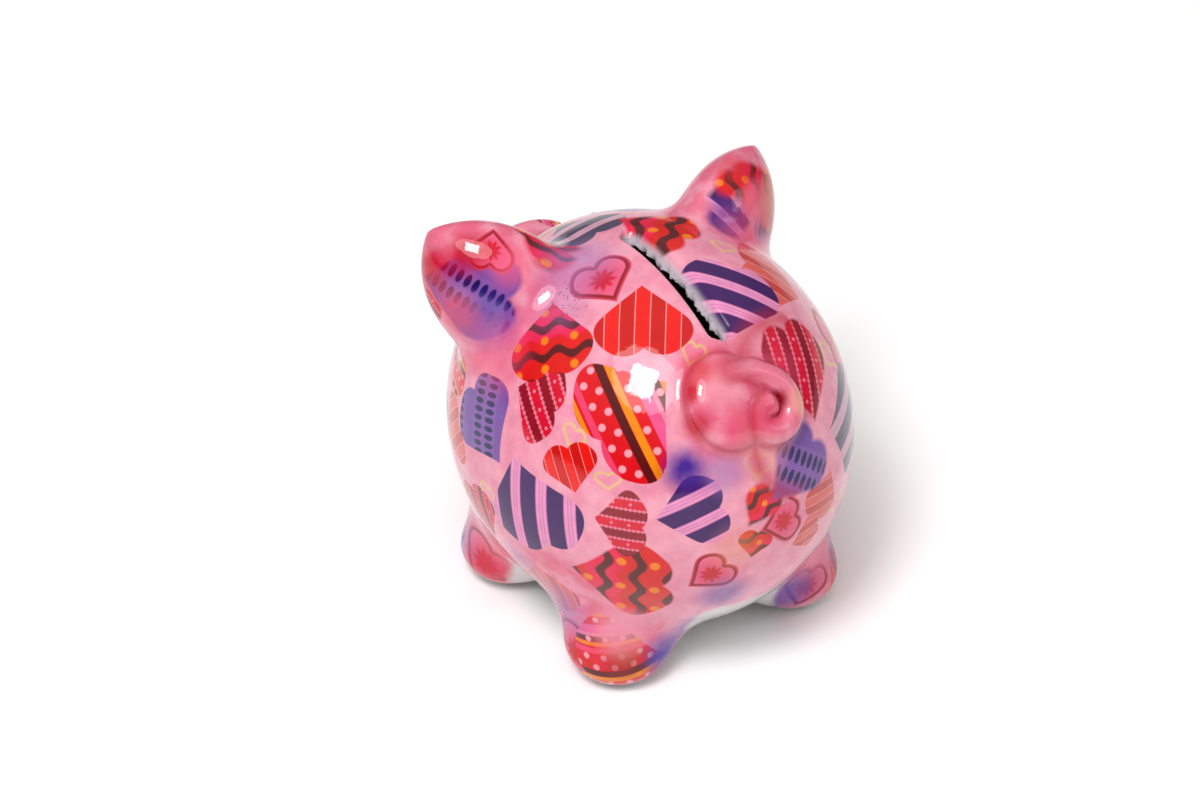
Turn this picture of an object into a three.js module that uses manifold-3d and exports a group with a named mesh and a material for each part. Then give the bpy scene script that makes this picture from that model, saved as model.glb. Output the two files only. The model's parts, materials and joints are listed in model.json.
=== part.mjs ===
// Round ceramic piggy bank, in millimetres, +Z up. The pig looks along -Y, and its left side is +X.
// The origin is on the floor, in the middle of the bank's length and on its plane of symmetry.
// The bank is a hollow cast ball. The ears, snout, tail, eyes and feet are castings of their own,
// luted onto it, and a soft plug closes the hole in its belly.
import * as THREE from 'three';
import { mergeVertices } from 'three/addons/utils/BufferGeometryUtils.js';
import Module from 'manifold-3d';

const wasm = await Module();
wasm.setup();

// ---- Driving dimensions -------------------------------------------------------------------------

const jointGap = 0.3; // slip line between the ball and each piece luted onto it

const ball = { halfWidth: 48, halfLength: 53.9, halfHeight: 50.4, wall: 4.5, floorGap: 1.4 };

const slot = { length: 40, width: 4.8, behindTop: 9.1, cornerRound: 2.4 };

const snout = { halfWidth: 19.5, halfHeight: 19, reach: 6.6, rise: 5.4, rimRound: 4, crown: 1 };
const nostril = { halfWidth: 2.6, halfHeight: 4, depth: 4.2, spacing: 14.5, rise: 1 };

const eye = { radius: 3.6, spacing: 27, rise: 27, sunk: 1.4 };

// An ear is a blunt leaf: an oval section that narrows from the root, inside the ball, to the tip.
// Places are measured from the ball's centre, for an ear on the pig's left.
const ear = {
  root: [14, -6.3, 17.8],
  halfThickness: 12.3,
  halfWidth: 18,
  shoulder: 4.8, // a high power keeps the leaf wide until near its tip
  sharpness: 0.85, // below 1 rounds the tip
  backNormal: [0.446, 0.895, -0.01],
};
const leftEarTip = [42.9, -31.8, 54.7];
const rightEarTip = [47.1, -22.4, 49.4];
const earDish = { along: 0.74, halfLength: 13, halfWidth: 10, depth: 2.6, fullness: 6 };

// A foot is a bulb: widest at its waist, round below it down to a small flat sole, and long above it.
// It leans in towards the ball as it rises, by splay for each millimetre of height.
const foot = {
  radius: 13.6, waist: 10, soleRadius: 4.5, rise: 30, splay: 0.16, sideways: 24.7, lengthways: 22.6,
};

// The tail's shape is drawn on the plane that touches the rump: first towards the pig's right, then up.
const tail = { pitch: 37.3, side: 1.4, lobeHalfWidth: 11, lobeHalfHeight: 11.8, lobeRise: 4.2 };
const tailLobeCentre = [-6, 1.6];
const tailCurl = [
  [-2, 8.2], [5, 6], [10.4, 0.6], [11, -6], [6.5, -10.4], [0.8, -8.4], [0.4, -3.6], [4.2, -2.6],
];
const tailCord = { radius: 3.4, lift: 1.3 };

const stopper = {
  holeRadius: 14, seatRadius: 17.5, seatDepth: 4.4, flange: 2.2, bossWidth: 4, bossHeight: 4,
  neckStandsProud: 1, cupWall: 2.7, cupDepth: 2.4, gripRadius: 10.5, gripDepth: 2.8, gripBar: 4.4,
  lead: 0.8, // the lead-in at the top of the neck, and half of it at the flange's edge
};
const stopperClearance = 0.3;

const glazed = { roughness: 0.12, metalness: 0 };
const colours = {
  body: 0xf2a0b4, ear: 0xd8647e, snout: 0xf08aa2, tail: 0xf47f98, foot: 0xc86a8c, eye: 0x1c1420,
  plug: 0xd9d3cc,
};

// ---- Worked-out places --------------------------------------------------------------------------

const ballCentre = new THREE.Vector3(0, snout.reach / 2, ball.floorGap + ball.halfHeight);
const ballHalf = new THREE.Vector3(ball.halfWidth, ball.halfLength, ball.halfHeight);
const innerHalf = ballHalf.clone().subScalar(ball.wall);
const seatHeight = ball.floorGap + stopper.seatDepth;
const bossTop = seatHeight + stopper.bossHeight;

// ---- Solids -------------------------------------------------------------------------------------

function toSolid(geometry) {
  geometry.deleteAttribute('normal');
  geometry.deleteAttribute('uv');
  const merged = mergeVertices(geometry, 1e-4);
  return new wasm.Manifold(new wasm.Mesh({
    numProp: 3,
    vertProperties: new Float32Array(merged.attributes.position.array),
    triVerts: new Uint32Array(merged.index.array),
  }));
}

function toGeometry(solid) {
  const mesh = solid.getMesh();
  const geometry = new THREE.BufferGeometry();
  geometry.setAttribute('position', new THREE.BufferAttribute(new Float32Array(mesh.vertProperties), 3));
  geometry.setIndex(new THREE.BufferAttribute(new Uint32Array(mesh.triVerts), 1));
  geometry.computeVertexNormals();
  return geometry;
}

function ellipsoid(half, centre, around, upwards) {
  const geometry = new THREE.SphereGeometry(1, around, upwards);
  geometry.rotateX(Math.PI / 2);
  geometry.scale(half.x, half.y, half.z);
  geometry.translate(centre.x, centre.y, centre.z);
  return toSolid(geometry);
}

// A round post that stands on +Z from one height to another.
function post(radius, from, to, x = 0, y = 0, around = 32) {
  const geometry = new THREE.CylinderGeometry(radius, radius, to - from, around);
  geometry.rotateX(Math.PI / 2);
  geometry.translate(x, y, (from + to) / 2);
  return toSolid(geometry);
}

// A profile of [radius, height] points, from the axis to the axis, turned about +Z.
function turned(profile, around = 32) {
  const geometry = new THREE.LatheGeometry(profile.map(([r, h]) => new THREE.Vector2(r, h)), around);
  geometry.rotateX(Math.PI / 2);
  return geometry;
}

function ballSkin() {
  return ellipsoid(ballHalf, ballCentre, 48, 24);
}

// What a luted piece keeps clear of: the ball's own facets, set out by the slip line.
function ballWithGap() {
  return ellipsoid(ballHalf.clone().addScalar(jointGap), ballCentre, 48, 24);
}

function outsideBall(geometry) {
  return toSolid(geometry).subtract(ballWithGap());
}

function slotCutter() {
  const halfWidth = slot.width / 2;
  const halfLength = slot.length / 2;
  const round = Math.min(slot.cornerRound, halfWidth - 0.01);
  const outline = new THREE.Shape();
  outline.moveTo(-halfWidth, -halfLength + round);
  outline.lineTo(-halfWidth, halfLength - round);
  outline.absarc(-halfWidth + round, halfLength - round, round, Math.PI, Math.PI / 2, true);
  outline.lineTo(halfWidth - round, halfLength);
  outline.absarc(halfWidth - round, halfLength - round, round, Math.PI / 2, 0, true);
  outline.lineTo(halfWidth, -halfLength + round);
  outline.absarc(halfWidth - round, -halfLength + round, round, 0, -Math.PI / 2, true);
  outline.lineTo(-halfWidth + round, -halfLength);
  outline.absarc(-halfWidth + round, -halfLength + round, round, -Math.PI / 2, -Math.PI, true);
  const depth = ball.halfHeight + jointGap;
  const geometry = new THREE.ExtrudeGeometry(outline, { depth, bevelEnabled: false, curveSegments: 6 });
  geometry.translate(0, ballCentre.y + slot.behindTop, ballCentre.z);
  return toSolid(geometry);
}

// The hollow ball, with a thick pad inside its belly that carries the stopper's seat.
function bodyShell() {
  const pad = post(stopper.seatRadius + stopper.bossWidth, 0, bossTop).intersect(ballAtOrigin());
  return ballAtOrigin()
    .subtract(ellipsoid(innerHalf, new THREE.Vector3(0, 0, ballCentre.z), 32, 16))
    .add(pad)
    .subtract(post(stopper.holeRadius, -1, bossTop + 1))
    .subtract(post(stopper.seatRadius, -1, seatHeight))
    .translate([0, ballCentre.y, 0])
    .subtract(slotCutter());
}

function ballAtOrigin() {
  return ballSkin().translate([0, -ballCentre.y, 0]);
}

// Axes of an ear on the pig's left: its length, its thickness and its width.
function earFrame(tip) {
  const root = new THREE.Vector3(...ear.root);
  const along = new THREE.Vector3(...tip).sub(root);
  const length = along.length();
  along.normalize();
  const back = new THREE.Vector3(...ear.backNormal);
  back.addScaledVector(along, -back.dot(along)).normalize();
  const wide = new THREE.Vector3().crossVectors(along, back);
  return { root, along, back, wide, length };
}

function earTaper(share) {
  return (1 - share ** ear.shoulder) ** ear.sharpness;
}

function earSolid(tip, mirrored) {
  const { root, along, back, wide, length } = earFrame(tip);
  const steps = 14;
  const profile = [[0, 0]];
  for (let i = 0; i <= steps; i += 1) {
    const share = Math.sin((i / steps) * (Math.PI / 2));
    profile.push([i === steps ? 0 : earTaper(share), share * length]);
  }
  const leaf = turned(profile, 24);
  leaf.scale(ear.halfThickness, ear.halfWidth, 1);
  leaf.applyMatrix4(new THREE.Matrix4().makeBasis(back, wide, along).setPosition(root));
  const dishOut = ear.halfThickness * earTaper(earDish.along) + earDish.fullness - earDish.depth;
  const dish = new THREE.SphereGeometry(1, 20, 10);
  dish.scale(earDish.fullness, earDish.halfWidth, earDish.halfLength);
  dish.translate(-dishOut, 0, earDish.along * length);
  dish.applyMatrix4(new THREE.Matrix4().makeBasis(back, wide, along).setPosition(root));
  const side = toSolid(leaf).subtract(toSolid(dish)).translate(ballCentre.toArray());
  const placed = mirrored ? side.mirror([1, 0, 0]) : side;
  return placed.subtract(ballWithGap());
}

// A fat disc with a rounded rim and a slightly crowned face, and two blind nostrils.
function snoutSolid() {
  const reach = ball.halfLength + snout.reach;
  const rim = snout.rimRound / snout.halfWidth;
  const profile = [[0, ball.halfLength / 2], [1, ball.halfLength / 2]];
  const steps = 4;
  for (let i = 0; i <= steps; i += 1) {
    const turn = (i / steps) * (Math.PI / 2);
    const height = reach - snout.crown - snout.rimRound * (1 - Math.sin(turn));
    profile.push([1 - rim + rim * Math.cos(turn), height]);
  }
  profile.push([0.5, reach - snout.crown * 0.25], [0, reach]);
  const disc = turned(profile, 32);
  disc.scale(snout.halfWidth, snout.halfHeight, 1);
  disc.rotateX(Math.PI / 2);
  disc.translate(0, ballCentre.y, ballCentre.z + snout.rise);
  const holes = [-1, 1].map((side) => {
    const half = new THREE.Vector3(nostril.halfWidth, nostril.depth, nostril.halfHeight);
    const place = new THREE.Vector3(
      (side * nostril.spacing) / 2, ballCentre.y - reach, ballCentre.z + snout.rise + nostril.rise);
    return ellipsoid(half, place, 16, 8);
  });
  return outsideBall(disc).subtract(holes[0]).subtract(holes[1]);
}

function eyeSolid(side) {
  const x = (side * eye.spacing) / 2;
  const rest = 1 - (x / ball.halfWidth) ** 2 - (eye.rise / ball.halfHeight) ** 2;
  const surface = new THREE.Vector3(x, -ball.halfLength * Math.sqrt(rest), eye.rise);
  const outward = surface.clone().divide(ballHalf).divide(ballHalf).normalize();
  const centre = surface.clone().addScaledVector(outward, -eye.sunk).add(ballCentre);
  const half = new THREE.Vector3(eye.radius, eye.radius, eye.radius);
  return ellipsoid(half, centre, 16, 10).subtract(ballWithGap());
}

function footSolid(side, end) {
  const profile = [[0, 0], [foot.soleRadius, 0]];
  const steps = 5;
  const start = Math.asin(foot.soleRadius / foot.radius);
  const drop = foot.waist / Math.cos(start);
  for (let i = 1; i <= steps; i += 1) {
    const turn = start + (i / steps) * (Math.PI / 2 - start);
    profile.push([foot.radius * Math.sin(turn), foot.waist - drop * Math.cos(turn)]);
  }
  for (let i = 1; i <= steps; i += 1) {
    const turn = (i / steps) * (Math.PI / 2);
    profile.push([i === steps ? 0 : foot.radius * Math.cos(turn), foot.waist + foot.rise * Math.sin(turn)]);
  }
  const leg = turned(profile, 28);
  leg.applyMatrix4(new THREE.Matrix4().makeShear(0, 0, 0, 0, -side * foot.splay, -end * foot.splay));
  const spread = foot.splay * foot.waist;
  leg.translate(side * (foot.sideways + spread), ballCentre.y + end * (foot.lengthways + spread), 0);
  return outsideBall(leg);
}

// Places on the plane that touches the rump at the tail: towards the pig's right, up, and out.
function tailMatrix() {
  const pitch = THREE.MathUtils.degToRad(tail.pitch);
  const flat = Math.sqrt(1 - (tail.side / ball.halfWidth) ** 2);
  const turn = Math.atan2(ball.halfLength * Math.sin(pitch), ball.halfHeight * Math.cos(pitch));
  const surface = new THREE.Vector3(
    tail.side, ball.halfLength * flat * Math.cos(turn), ball.halfHeight * flat * Math.sin(turn));
  const out = surface.clone().divide(ballHalf).divide(ballHalf).normalize();
  const right = new THREE.Vector3(-1, 0, 0).addScaledVector(out, out.x).normalize();
  const up = new THREE.Vector3().crossVectors(out, right);
  return new THREE.Matrix4().makeBasis(right, up, out).setPosition(surface.add(ballCentre));
}

// The height of the ball's skin below the tail's plane, near enough for a small patch.
function rumpSag(x, y) {
  return (x * x) / (2 * ball.halfWidth) + (y * y) / (2 * ball.halfLength);
}

function tailSolid() {
  const place = tailMatrix();
  const [lobeX, lobeY] = tailLobeCentre;
  const lobe = new THREE.SphereGeometry(1, 24, 12);
  lobe.scale(tail.lobeHalfWidth, tail.lobeHalfHeight, tail.lobeRise);
  lobe.translate(lobeX, lobeY, -rumpSag(lobeX, lobeY));
  lobe.applyMatrix4(place);
  const curve = new THREE.CatmullRomCurve3(
    tailCurl.map(([x, y]) => new THREE.Vector3(x, y, tailCord.lift - rumpSag(x, y))));
  const section = new THREE.Shape();
  section.absarc(0, 0, tailCord.radius, 0, Math.PI * 2);
  const cord = new THREE.ExtrudeGeometry(section, { steps: 18, curveSegments: 5, extrudePath: curve });
  cord.applyMatrix4(place);
  const last = tailCurl.length - 1;
  const [tipX, tipY] = tailCurl[last];
  const tip = new THREE.SphereGeometry(tailCord.radius, 14, 8);
  tip.translate(tipX, tipY, tailCord.lift - rumpSag(tipX, tipY));
  tip.applyMatrix4(place);
  return toSolid(lobe).add(toSolid(cord)).add(toSolid(tip)).subtract(ballWithGap());
}

// The soft plug: a flange under the seat, a neck through the hole with a cup in its top, and two
// finger wells in the outside face that leave a bar to pull on.
function stopperSolid() {
  const flangeTop = seatHeight - stopperClearance;
  const flangeBottom = flangeTop - stopper.flange;
  const flangeRadius = stopper.seatRadius - stopperClearance;
  const neckRadius = stopper.holeRadius - stopperClearance;
  const { lead } = stopper;
  const neckTop = bossTop + stopper.neckStandsProud;
  const profile = [
    [0, flangeBottom], [flangeRadius - lead / 2, flangeBottom], [flangeRadius, flangeBottom + lead / 2],
    [flangeRadius, flangeTop], [neckRadius, flangeTop], [neckRadius, neckTop - lead],
    [neckRadius - lead, neckTop],
    [neckRadius - stopper.cupWall, neckTop], [neckRadius - stopper.cupWall, neckTop - stopper.cupDepth],
    [0, neckTop - stopper.cupDepth],
  ];
  const bar = new THREE.BoxGeometry(stopper.gripBar, stopper.gripRadius * 3, stopper.gripDepth * 3);
  bar.translate(0, 0, flangeBottom);
  const wells = post(stopper.gripRadius, flangeBottom - 1, flangeBottom + stopper.gripDepth)
    .subtract(toSolid(bar));
  return toSolid(turned(profile, 32)).subtract(wells).translate([0, ballCentre.y, 0]);
}

// ---- The assembly -------------------------------------------------------------------------------

const bank = new THREE.Group();

function addPiece(name, solid, color, finish = glazed) {
  const piece = new THREE.Mesh(toGeometry(solid), new THREE.MeshStandardMaterial({ color, ...finish }));
  piece.name = name;
  bank.add(piece);
}

addPiece('body_shell', bodyShell(), colours.body);
addPiece('left_ear', earSolid(leftEarTip, false), colours.ear);
addPiece('right_ear', earSolid(rightEarTip, true), colours.ear);
addPiece('snout', snoutSolid(), colours.snout);
addPiece('curly_tail', tailSolid(), colours.tail);
addPiece('left_eye', eyeSolid(1), colours.eye);
addPiece('right_eye', eyeSolid(-1), colours.eye);
for (const [endName, end] of [['front', -1], ['rear', 1]]) {
  for (const [sideName, side] of [['left', 1], ['right', -1]]) {
    addPiece(`${endName}_${sideName}_foot`, footSolid(side, end), colours.foot);
  }
}
addPiece('stopper_plug', stopperSolid(), colours.plug, { roughness: 0.6, metalness: 0 });

export default bank;
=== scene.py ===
"""A glazed ceramic piggy bank covered with printed hearts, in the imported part's frame, in metres.

The bank is one glazed skin: a ball with ears, snout, tail and feet luted onto it, so their joints are
filleted and the print runs over them. The skin is built whole, then parted into one piece for each CAD
node. The print is laid on as attributes of the mesh, and the glaze's node tree draws every heart from them.
"""

import json
import logging
import math
from dataclasses import dataclass, field
from enum import Enum, IntEnum

import bpy
import numpy as np
from mathutils import Matrix, Vector
from mathutils.bvhtree import BVHTree

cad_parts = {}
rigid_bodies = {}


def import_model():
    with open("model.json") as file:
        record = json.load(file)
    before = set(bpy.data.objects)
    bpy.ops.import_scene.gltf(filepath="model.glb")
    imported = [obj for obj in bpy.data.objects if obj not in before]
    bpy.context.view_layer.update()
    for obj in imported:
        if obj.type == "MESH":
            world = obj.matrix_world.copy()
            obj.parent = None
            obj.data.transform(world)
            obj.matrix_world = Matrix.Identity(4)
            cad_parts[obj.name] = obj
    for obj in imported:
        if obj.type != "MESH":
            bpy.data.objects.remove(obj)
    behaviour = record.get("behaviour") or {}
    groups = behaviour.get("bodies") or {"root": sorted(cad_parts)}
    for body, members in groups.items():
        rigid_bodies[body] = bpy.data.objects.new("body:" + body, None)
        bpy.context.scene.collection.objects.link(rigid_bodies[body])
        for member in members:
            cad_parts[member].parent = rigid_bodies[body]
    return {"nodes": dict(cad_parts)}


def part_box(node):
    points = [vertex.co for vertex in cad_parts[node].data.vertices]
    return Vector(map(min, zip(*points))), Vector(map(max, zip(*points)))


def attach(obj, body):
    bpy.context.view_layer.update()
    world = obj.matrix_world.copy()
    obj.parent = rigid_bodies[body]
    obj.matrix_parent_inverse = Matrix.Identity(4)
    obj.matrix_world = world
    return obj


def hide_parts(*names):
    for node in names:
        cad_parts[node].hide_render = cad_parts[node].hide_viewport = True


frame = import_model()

log = logging.getLogger("piggy_bank")

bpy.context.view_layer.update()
MM = 0.001
HEART_WIDTH = 1.2
HEART_HEIGHT = 1.1

Colour = tuple[float, float, float, float]
Socket = bpy.types.NodeSocket


# ---- Small helpers ------------------------------------------------------------------------------


def colour(red: int, green: int, blue: int) -> Colour:
    """Turns a display colour into the linear colour that the nodes take.

    Args:
        red: the red share, 0 to 255.
        green: the green share, 0 to 255.
        blue: the blue share, 0 to 255.

    Returns:
        Linear red, green and blue, and an alpha of 1.
    """
    shares = [value / 255 for value in (red, green, blue)]
    linear = [v / 12.92 if v <= 0.04045 else ((v + 0.055) / 1.055) ** 2.4 for v in shares]
    return (linear[0], linear[1], linear[2], 1.0)


def smooth_min(first: np.ndarray, second: np.ndarray, width: float) -> np.ndarray:
    """Joins two distance fields with a fillet."""
    share = np.clip(0.5 + 0.5 * (second - first) / width, 0, 1)
    return second * (1 - share) + first * share - width * share * (1 - share)


def smooth_max(first: np.ndarray, second: np.ndarray, width: float) -> np.ndarray:
    """Keeps what lies in both of two distance fields, with a rounded edge."""
    return -smooth_min(-first, -second, width)


def smooth_step(low: float, high: float, value: np.ndarray) -> np.ndarray:
    """Eases from 0 to 1 as a value goes from low to high."""
    share = np.clip((value - low) / (high - low), 0, 1)
    return share * share * (3 - 2 * share)


def ellipsoid_distance(points: np.ndarray, half: np.ndarray) -> np.ndarray:
    """Near distance from points to an ellipsoid about the origin.

    Args:
        points: places, one row each, in millimetres.
        half: the ellipsoid's three half-axes.

    Returns:
        Distances, negative inside.
    """
    near = np.linalg.norm(points / half, axis=1)
    slope = np.linalg.norm(points / half**2, axis=1)
    return near * (near - 1) / np.maximum(slope, 1e-6)


def toward(azimuth: float, elevation: float) -> np.ndarray:
    """A direction given as a view is: azimuth 0 is the pig's face, 90 its left side, 180 its tail."""
    a, e = math.radians(azimuth), math.radians(elevation)
    return np.array([math.sin(a) * math.cos(e), -math.cos(a) * math.cos(e), math.sin(e)])


def pick(*objects: bpy.types.Object) -> None:
    """Selects these objects and nothing else, and makes the first one active.

    Args:
        objects: the objects, or none to deselect everything.
    """
    bpy.ops.object.select_all(action="DESELECT")
    for obj in reversed(objects):
        obj.select_set(True)
        bpy.context.view_layer.objects.active = obj


def read(items: bpy.types.bpy_prop_collection, name: str, kind: type = float, wide: int = 1) -> np.ndarray:
    """Reads one property of every vertex, corner, edge or face.

    Args:
        items: the mesh's collection.
        name: the property's name.
        kind: the type of its numbers.
        wide: how many numbers each item has.

    Returns:
        The numbers in one row.
    """
    values = np.empty(len(items) * wide, kind)
    items.foreach_get(name, values)
    return values


def apply_all_modifiers(obj: bpy.types.Object) -> None:
    """Applies every modifier of a piece, first to last.

    Args:
        obj: the piece.
    """
    pick(obj)
    for name in [modifier.name for modifier in obj.modifiers]:
        bpy.ops.object.modifier_apply(modifier=name)


def settle(obj: bpy.types.Object, name: str, place: Matrix) -> bpy.types.Object:
    """Names a fresh primitive, puts it in place and bakes the place into its mesh.

    Args:
        obj: the primitive.
        name: its name.
        place: where it goes, in metres.

    Returns:
        The same object, at the world origin, unturned and unscaled.
    """
    obj.name = obj.data.name = name
    obj.matrix_world = place
    bpy.ops.object.transform_apply(location=True, rotation=True, scale=True)
    return obj


def sphere(name: str, place: Matrix, around: int = 48, upwards: int = 24) -> bpy.types.Object:
    """Adds a unit UV sphere, placed by a matrix.

    Args:
        name: its name.
        place: its matrix, in metres.
        around: segments round it.
        upwards: rings up it.

    Returns:
        The new object.
    """
    pick()
    bpy.ops.mesh.primitive_uv_sphere_add(segments=around, ring_count=upwards, radius=1)
    return settle(bpy.context.object, name, place)


def cylinder(name: str, place: Matrix, around: int = 64) -> bpy.types.Object:
    """Adds a cylinder of radius 1 that runs from -1 to 1 on Z, placed by a matrix.

    Args:
        name: its name.
        place: its matrix, in metres.
        around: sides.

    Returns:
        The new object.
    """
    pick()
    bpy.ops.mesh.primitive_cylinder_add(vertices=around, radius=1, depth=2)
    return settle(bpy.context.object, name, place)


def combine(target: bpy.types.Object, other: bpy.types.Object, operation: str) -> None:
    """Joins another solid to a piece, or cuts it out, and removes the other solid.

    Args:
        target: the piece that is kept.
        other: the solid that is used up.
        operation: UNION or DIFFERENCE.
    """
    modifier = target.modifiers.new(operation.lower(), "BOOLEAN")
    modifier.operation = operation
    modifier.object = other
    modifier.solver = "EXACT"
    apply_all_modifiers(target)
    bpy.data.objects.remove(other)


def millimetres(centre: np.ndarray, axes: np.ndarray | None = None, half: tuple = (1, 1, 1)) -> Matrix:
    """The matrix that places a unit primitive.

    Args:
        centre: where its middle goes, in millimetres.
        axes: its three axes as rows, or None for the frame's own.
        half: its half-sizes along those axes, in millimetres.

    Returns:
        The matrix, in metres.
    """
    rows = np.eye(3) if axes is None else np.asarray(axes)
    matrix = np.eye(4)
    matrix[:3, :3] = rows.T * np.asarray(half, float) * MM
    matrix[:3, 3] = np.asarray(centre, float) * MM
    return Matrix(matrix.tolist())


def mesh_points(obj: bpy.types.Object) -> np.ndarray:
    """Reads a mesh's vertices."""
    return read(obj.data.vertices, "co", wide=3).reshape(-1, 3) / MM


def set_mesh_points(obj: bpy.types.Object, points: np.ndarray) -> None:
    """Writes a mesh's vertices."""
    obj.data.vertices.foreach_set("co", (points * MM).ravel())
    obj.data.update()


# ---- The shapes that make up the skin -----------------------------------------------------------


@dataclass
class Ball:
    """The hollow ball that holds the coins.

    Attributes:
        half: half of its width, length and height, in millimetres.
        wall: how thick it is cast.
        centre: where its middle is in the frame.
    """

    half: tuple[float, float, float] = (48.0, 53.9, 50.4)
    wall: float = 4.5
    centre: np.ndarray = field(default_factory=lambda: np.zeros(3))

    def locate(self) -> None:
        """Finds the ball's middle from the box of the CAD shell."""
        low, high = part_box("body_shell")
        self.centre = np.array([0.0, (low.y + high.y) / 2 / MM, high.z / MM + 0.06 - self.half[2]])

    def distance(self, points: np.ndarray, inset: float = 0.0) -> np.ndarray:
        """Distances to the ball's outside, or to a skin inside it."""
        return ellipsoid_distance(points, np.array(self.half) - inset)

    def base(self) -> bpy.types.Object:
        """Adds the ball's rough form."""
        return sphere("body_shell_form", millimetres(self.centre, half=self.half), 96, 48)


@dataclass
class Ear:
    """A blunt leaf with a shallow dish in its front.

    Attributes:
        node: the CAD node it stands for.
        tip: its tip from the ball's middle, for an ear on the pig's left.
        mirrored: whether it is on the pig's right.
        fillet: how far its joint's fillet reaches.
    """

    node: str
    tip: tuple[float, float, float]
    mirrored: bool
    fillet: float = 11.0
    root: tuple[float, float, float] = (14.0, -6.3, 17.8)
    half_thickness: float = 12.3
    half_width: float = 17.8
    shoulder: float = 4.8
    sharpness: float = 0.85
    back_normal: tuple[float, float, float] = (0.446, 0.895, -0.01)
    dish_along: float = 0.74
    dish_half: tuple[float, float, float] = (6.0, 10.0, 13.0)
    dish_depth: float = 2.6

    def __post_init__(self) -> None:
        """Works out the ear's own axes: its thickness, its width and its length."""
        root = np.array(self.root)
        along = np.array(self.tip) - root
        self.length = float(np.linalg.norm(along))
        along = along / self.length
        back = np.array(self.back_normal)
        back = back - along * back.dot(along)
        back = back / np.linalg.norm(back)
        self.axes = np.array([back, np.cross(along, back), along])
        if self.mirrored:
            self.axes = self.axes * np.array([-1, 1, 1])
            root = root * np.array([-1, 1, 1])
        self.origin = root

    def taper(self, share: np.ndarray) -> np.ndarray:
        """How wide the leaf is along its length."""
        return (1 - np.clip(share, 0, 1) ** self.shoulder) ** self.sharpness

    def distance(self, points: np.ndarray) -> np.ndarray:
        """Near distances to the ear.

        Args:
            points: places from the ball's middle.

        Returns:
            Distances, negative inside.
        """
        place = (points - self.origin) @ self.axes.T
        a, b = place[:, 0] / self.half_thickness, place[:, 1] / self.half_width
        share = np.clip(place[:, 2] / self.length, 0, 3)
        around = np.maximum(a * a + b * b, 1e-6)
        power = 1 / (2 * self.sharpness)
        value = around**power + share**self.shoulder - 1
        steep = power * around ** (power - 1)
        slope = np.sqrt(
            (2 * steep * a / self.half_thickness) ** 2
            + (2 * steep * b / self.half_width) ** 2
            + (self.shoulder * share ** (self.shoulder - 1) / self.length) ** 2
        )
        leaf = value / np.maximum(slope, 0.02)
        out = self.half_thickness * float(self.taper(np.array(self.dish_along)))
        middle = np.array([-(out + self.dish_half[0] - self.dish_depth), 0, self.dish_along * self.length])
        dish = ellipsoid_distance(place - middle, np.array(self.dish_half))
        return smooth_max(leaf, -dish, 3.5)

    def base(self, centre: np.ndarray) -> bpy.types.Object:
        """Adds the ear's rough form.

        Args:
            centre: the ball's middle.

        Returns:
            The new object.
        """
        obj = sphere(self.node + "_form", Matrix.Scale(MM, 4), 40, 32)
        unit = mesh_points(obj)
        ring = np.maximum(np.hypot(unit[:, 0], unit[:, 1]), 1e-6)
        share = (unit[:, 2] + 1) / 2
        radius = self.taper(share) * np.clip(ring * 2.5, 0, 1) / ring
        shaped = np.column_stack([
            unit[:, 0] * radius * self.half_thickness,
            unit[:, 1] * radius * self.half_width,
            share * self.length,
        ])
        set_mesh_points(obj, shaped @ self.axes + self.origin + centre)
        return facing_out(obj)


@dataclass
class Foot:
    """A stub foot: a bulb with a small flat sole, leaning in as it rises.

    Attributes:
        node: the CAD node it stands for.
        side: 1 on the pig's left, -1 on its right.
        end: 1 at the rear, -1 at the front.
        floor: how far the floor is below the ball's middle.
    """

    node: str
    side: int
    end: int
    floor: float
    fillet: float = 10.0
    radius: float = 13.6
    waist: float = 10.0
    sole_radius: float = 4.5
    rise: float = 30.0
    splay: float = 0.16
    sideways: float = 24.7
    lengthways: float = 22.6

    def __post_init__(self) -> None:
        """Works out how deep the bulb would go below its waist, and where it stands."""
        self.drop = self.waist / math.cos(math.asin(self.sole_radius / self.radius))
        spread = self.splay * self.waist
        self.stand = np.array([self.side * (self.sideways + spread), self.end * (self.lengthways + spread)])
        self.lean = np.array([self.side, self.end]) * self.splay

    def distance(self, points: np.ndarray) -> np.ndarray:
        """Near distances to the foot.

        Args:
            points: places from the ball's middle.

        Returns:
            Distances, negative inside.
        """
        height = points[:, 2] + self.floor
        flat = points[:, :2] - self.stand + self.lean * height[:, None]
        deep = np.where(height > self.waist, self.rise, self.drop)
        place = np.column_stack([flat, height - self.waist])
        half = np.column_stack([np.full((len(points), 2), self.radius), deep])
        near = np.linalg.norm(place / half, axis=1)
        slope = np.linalg.norm(place / half**2, axis=1)
        bulb = near * (near - 1) / np.maximum(slope, 1e-3)
        return smooth_max(bulb, -height, 0.9)

    def base(self, centre: np.ndarray) -> bpy.types.Object:
        """Adds the foot's rough form.

        Args:
            centre: the ball's middle.

        Returns:
            The new object.
        """
        obj = sphere(self.node + "_form", Matrix.Scale(MM, 4), 40, 24)
        unit = mesh_points(obj)
        height = self.waist + unit[:, 2] * np.where(unit[:, 2] > 0, self.rise, self.drop)
        height = np.maximum(height, 0.002 * unit[:, 2])
        flat = unit[:, :2] * self.radius + self.stand - self.lean * height[:, None]
        place = np.column_stack([flat + centre[:2], height])
        set_mesh_points(obj, place)
        return obj


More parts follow.
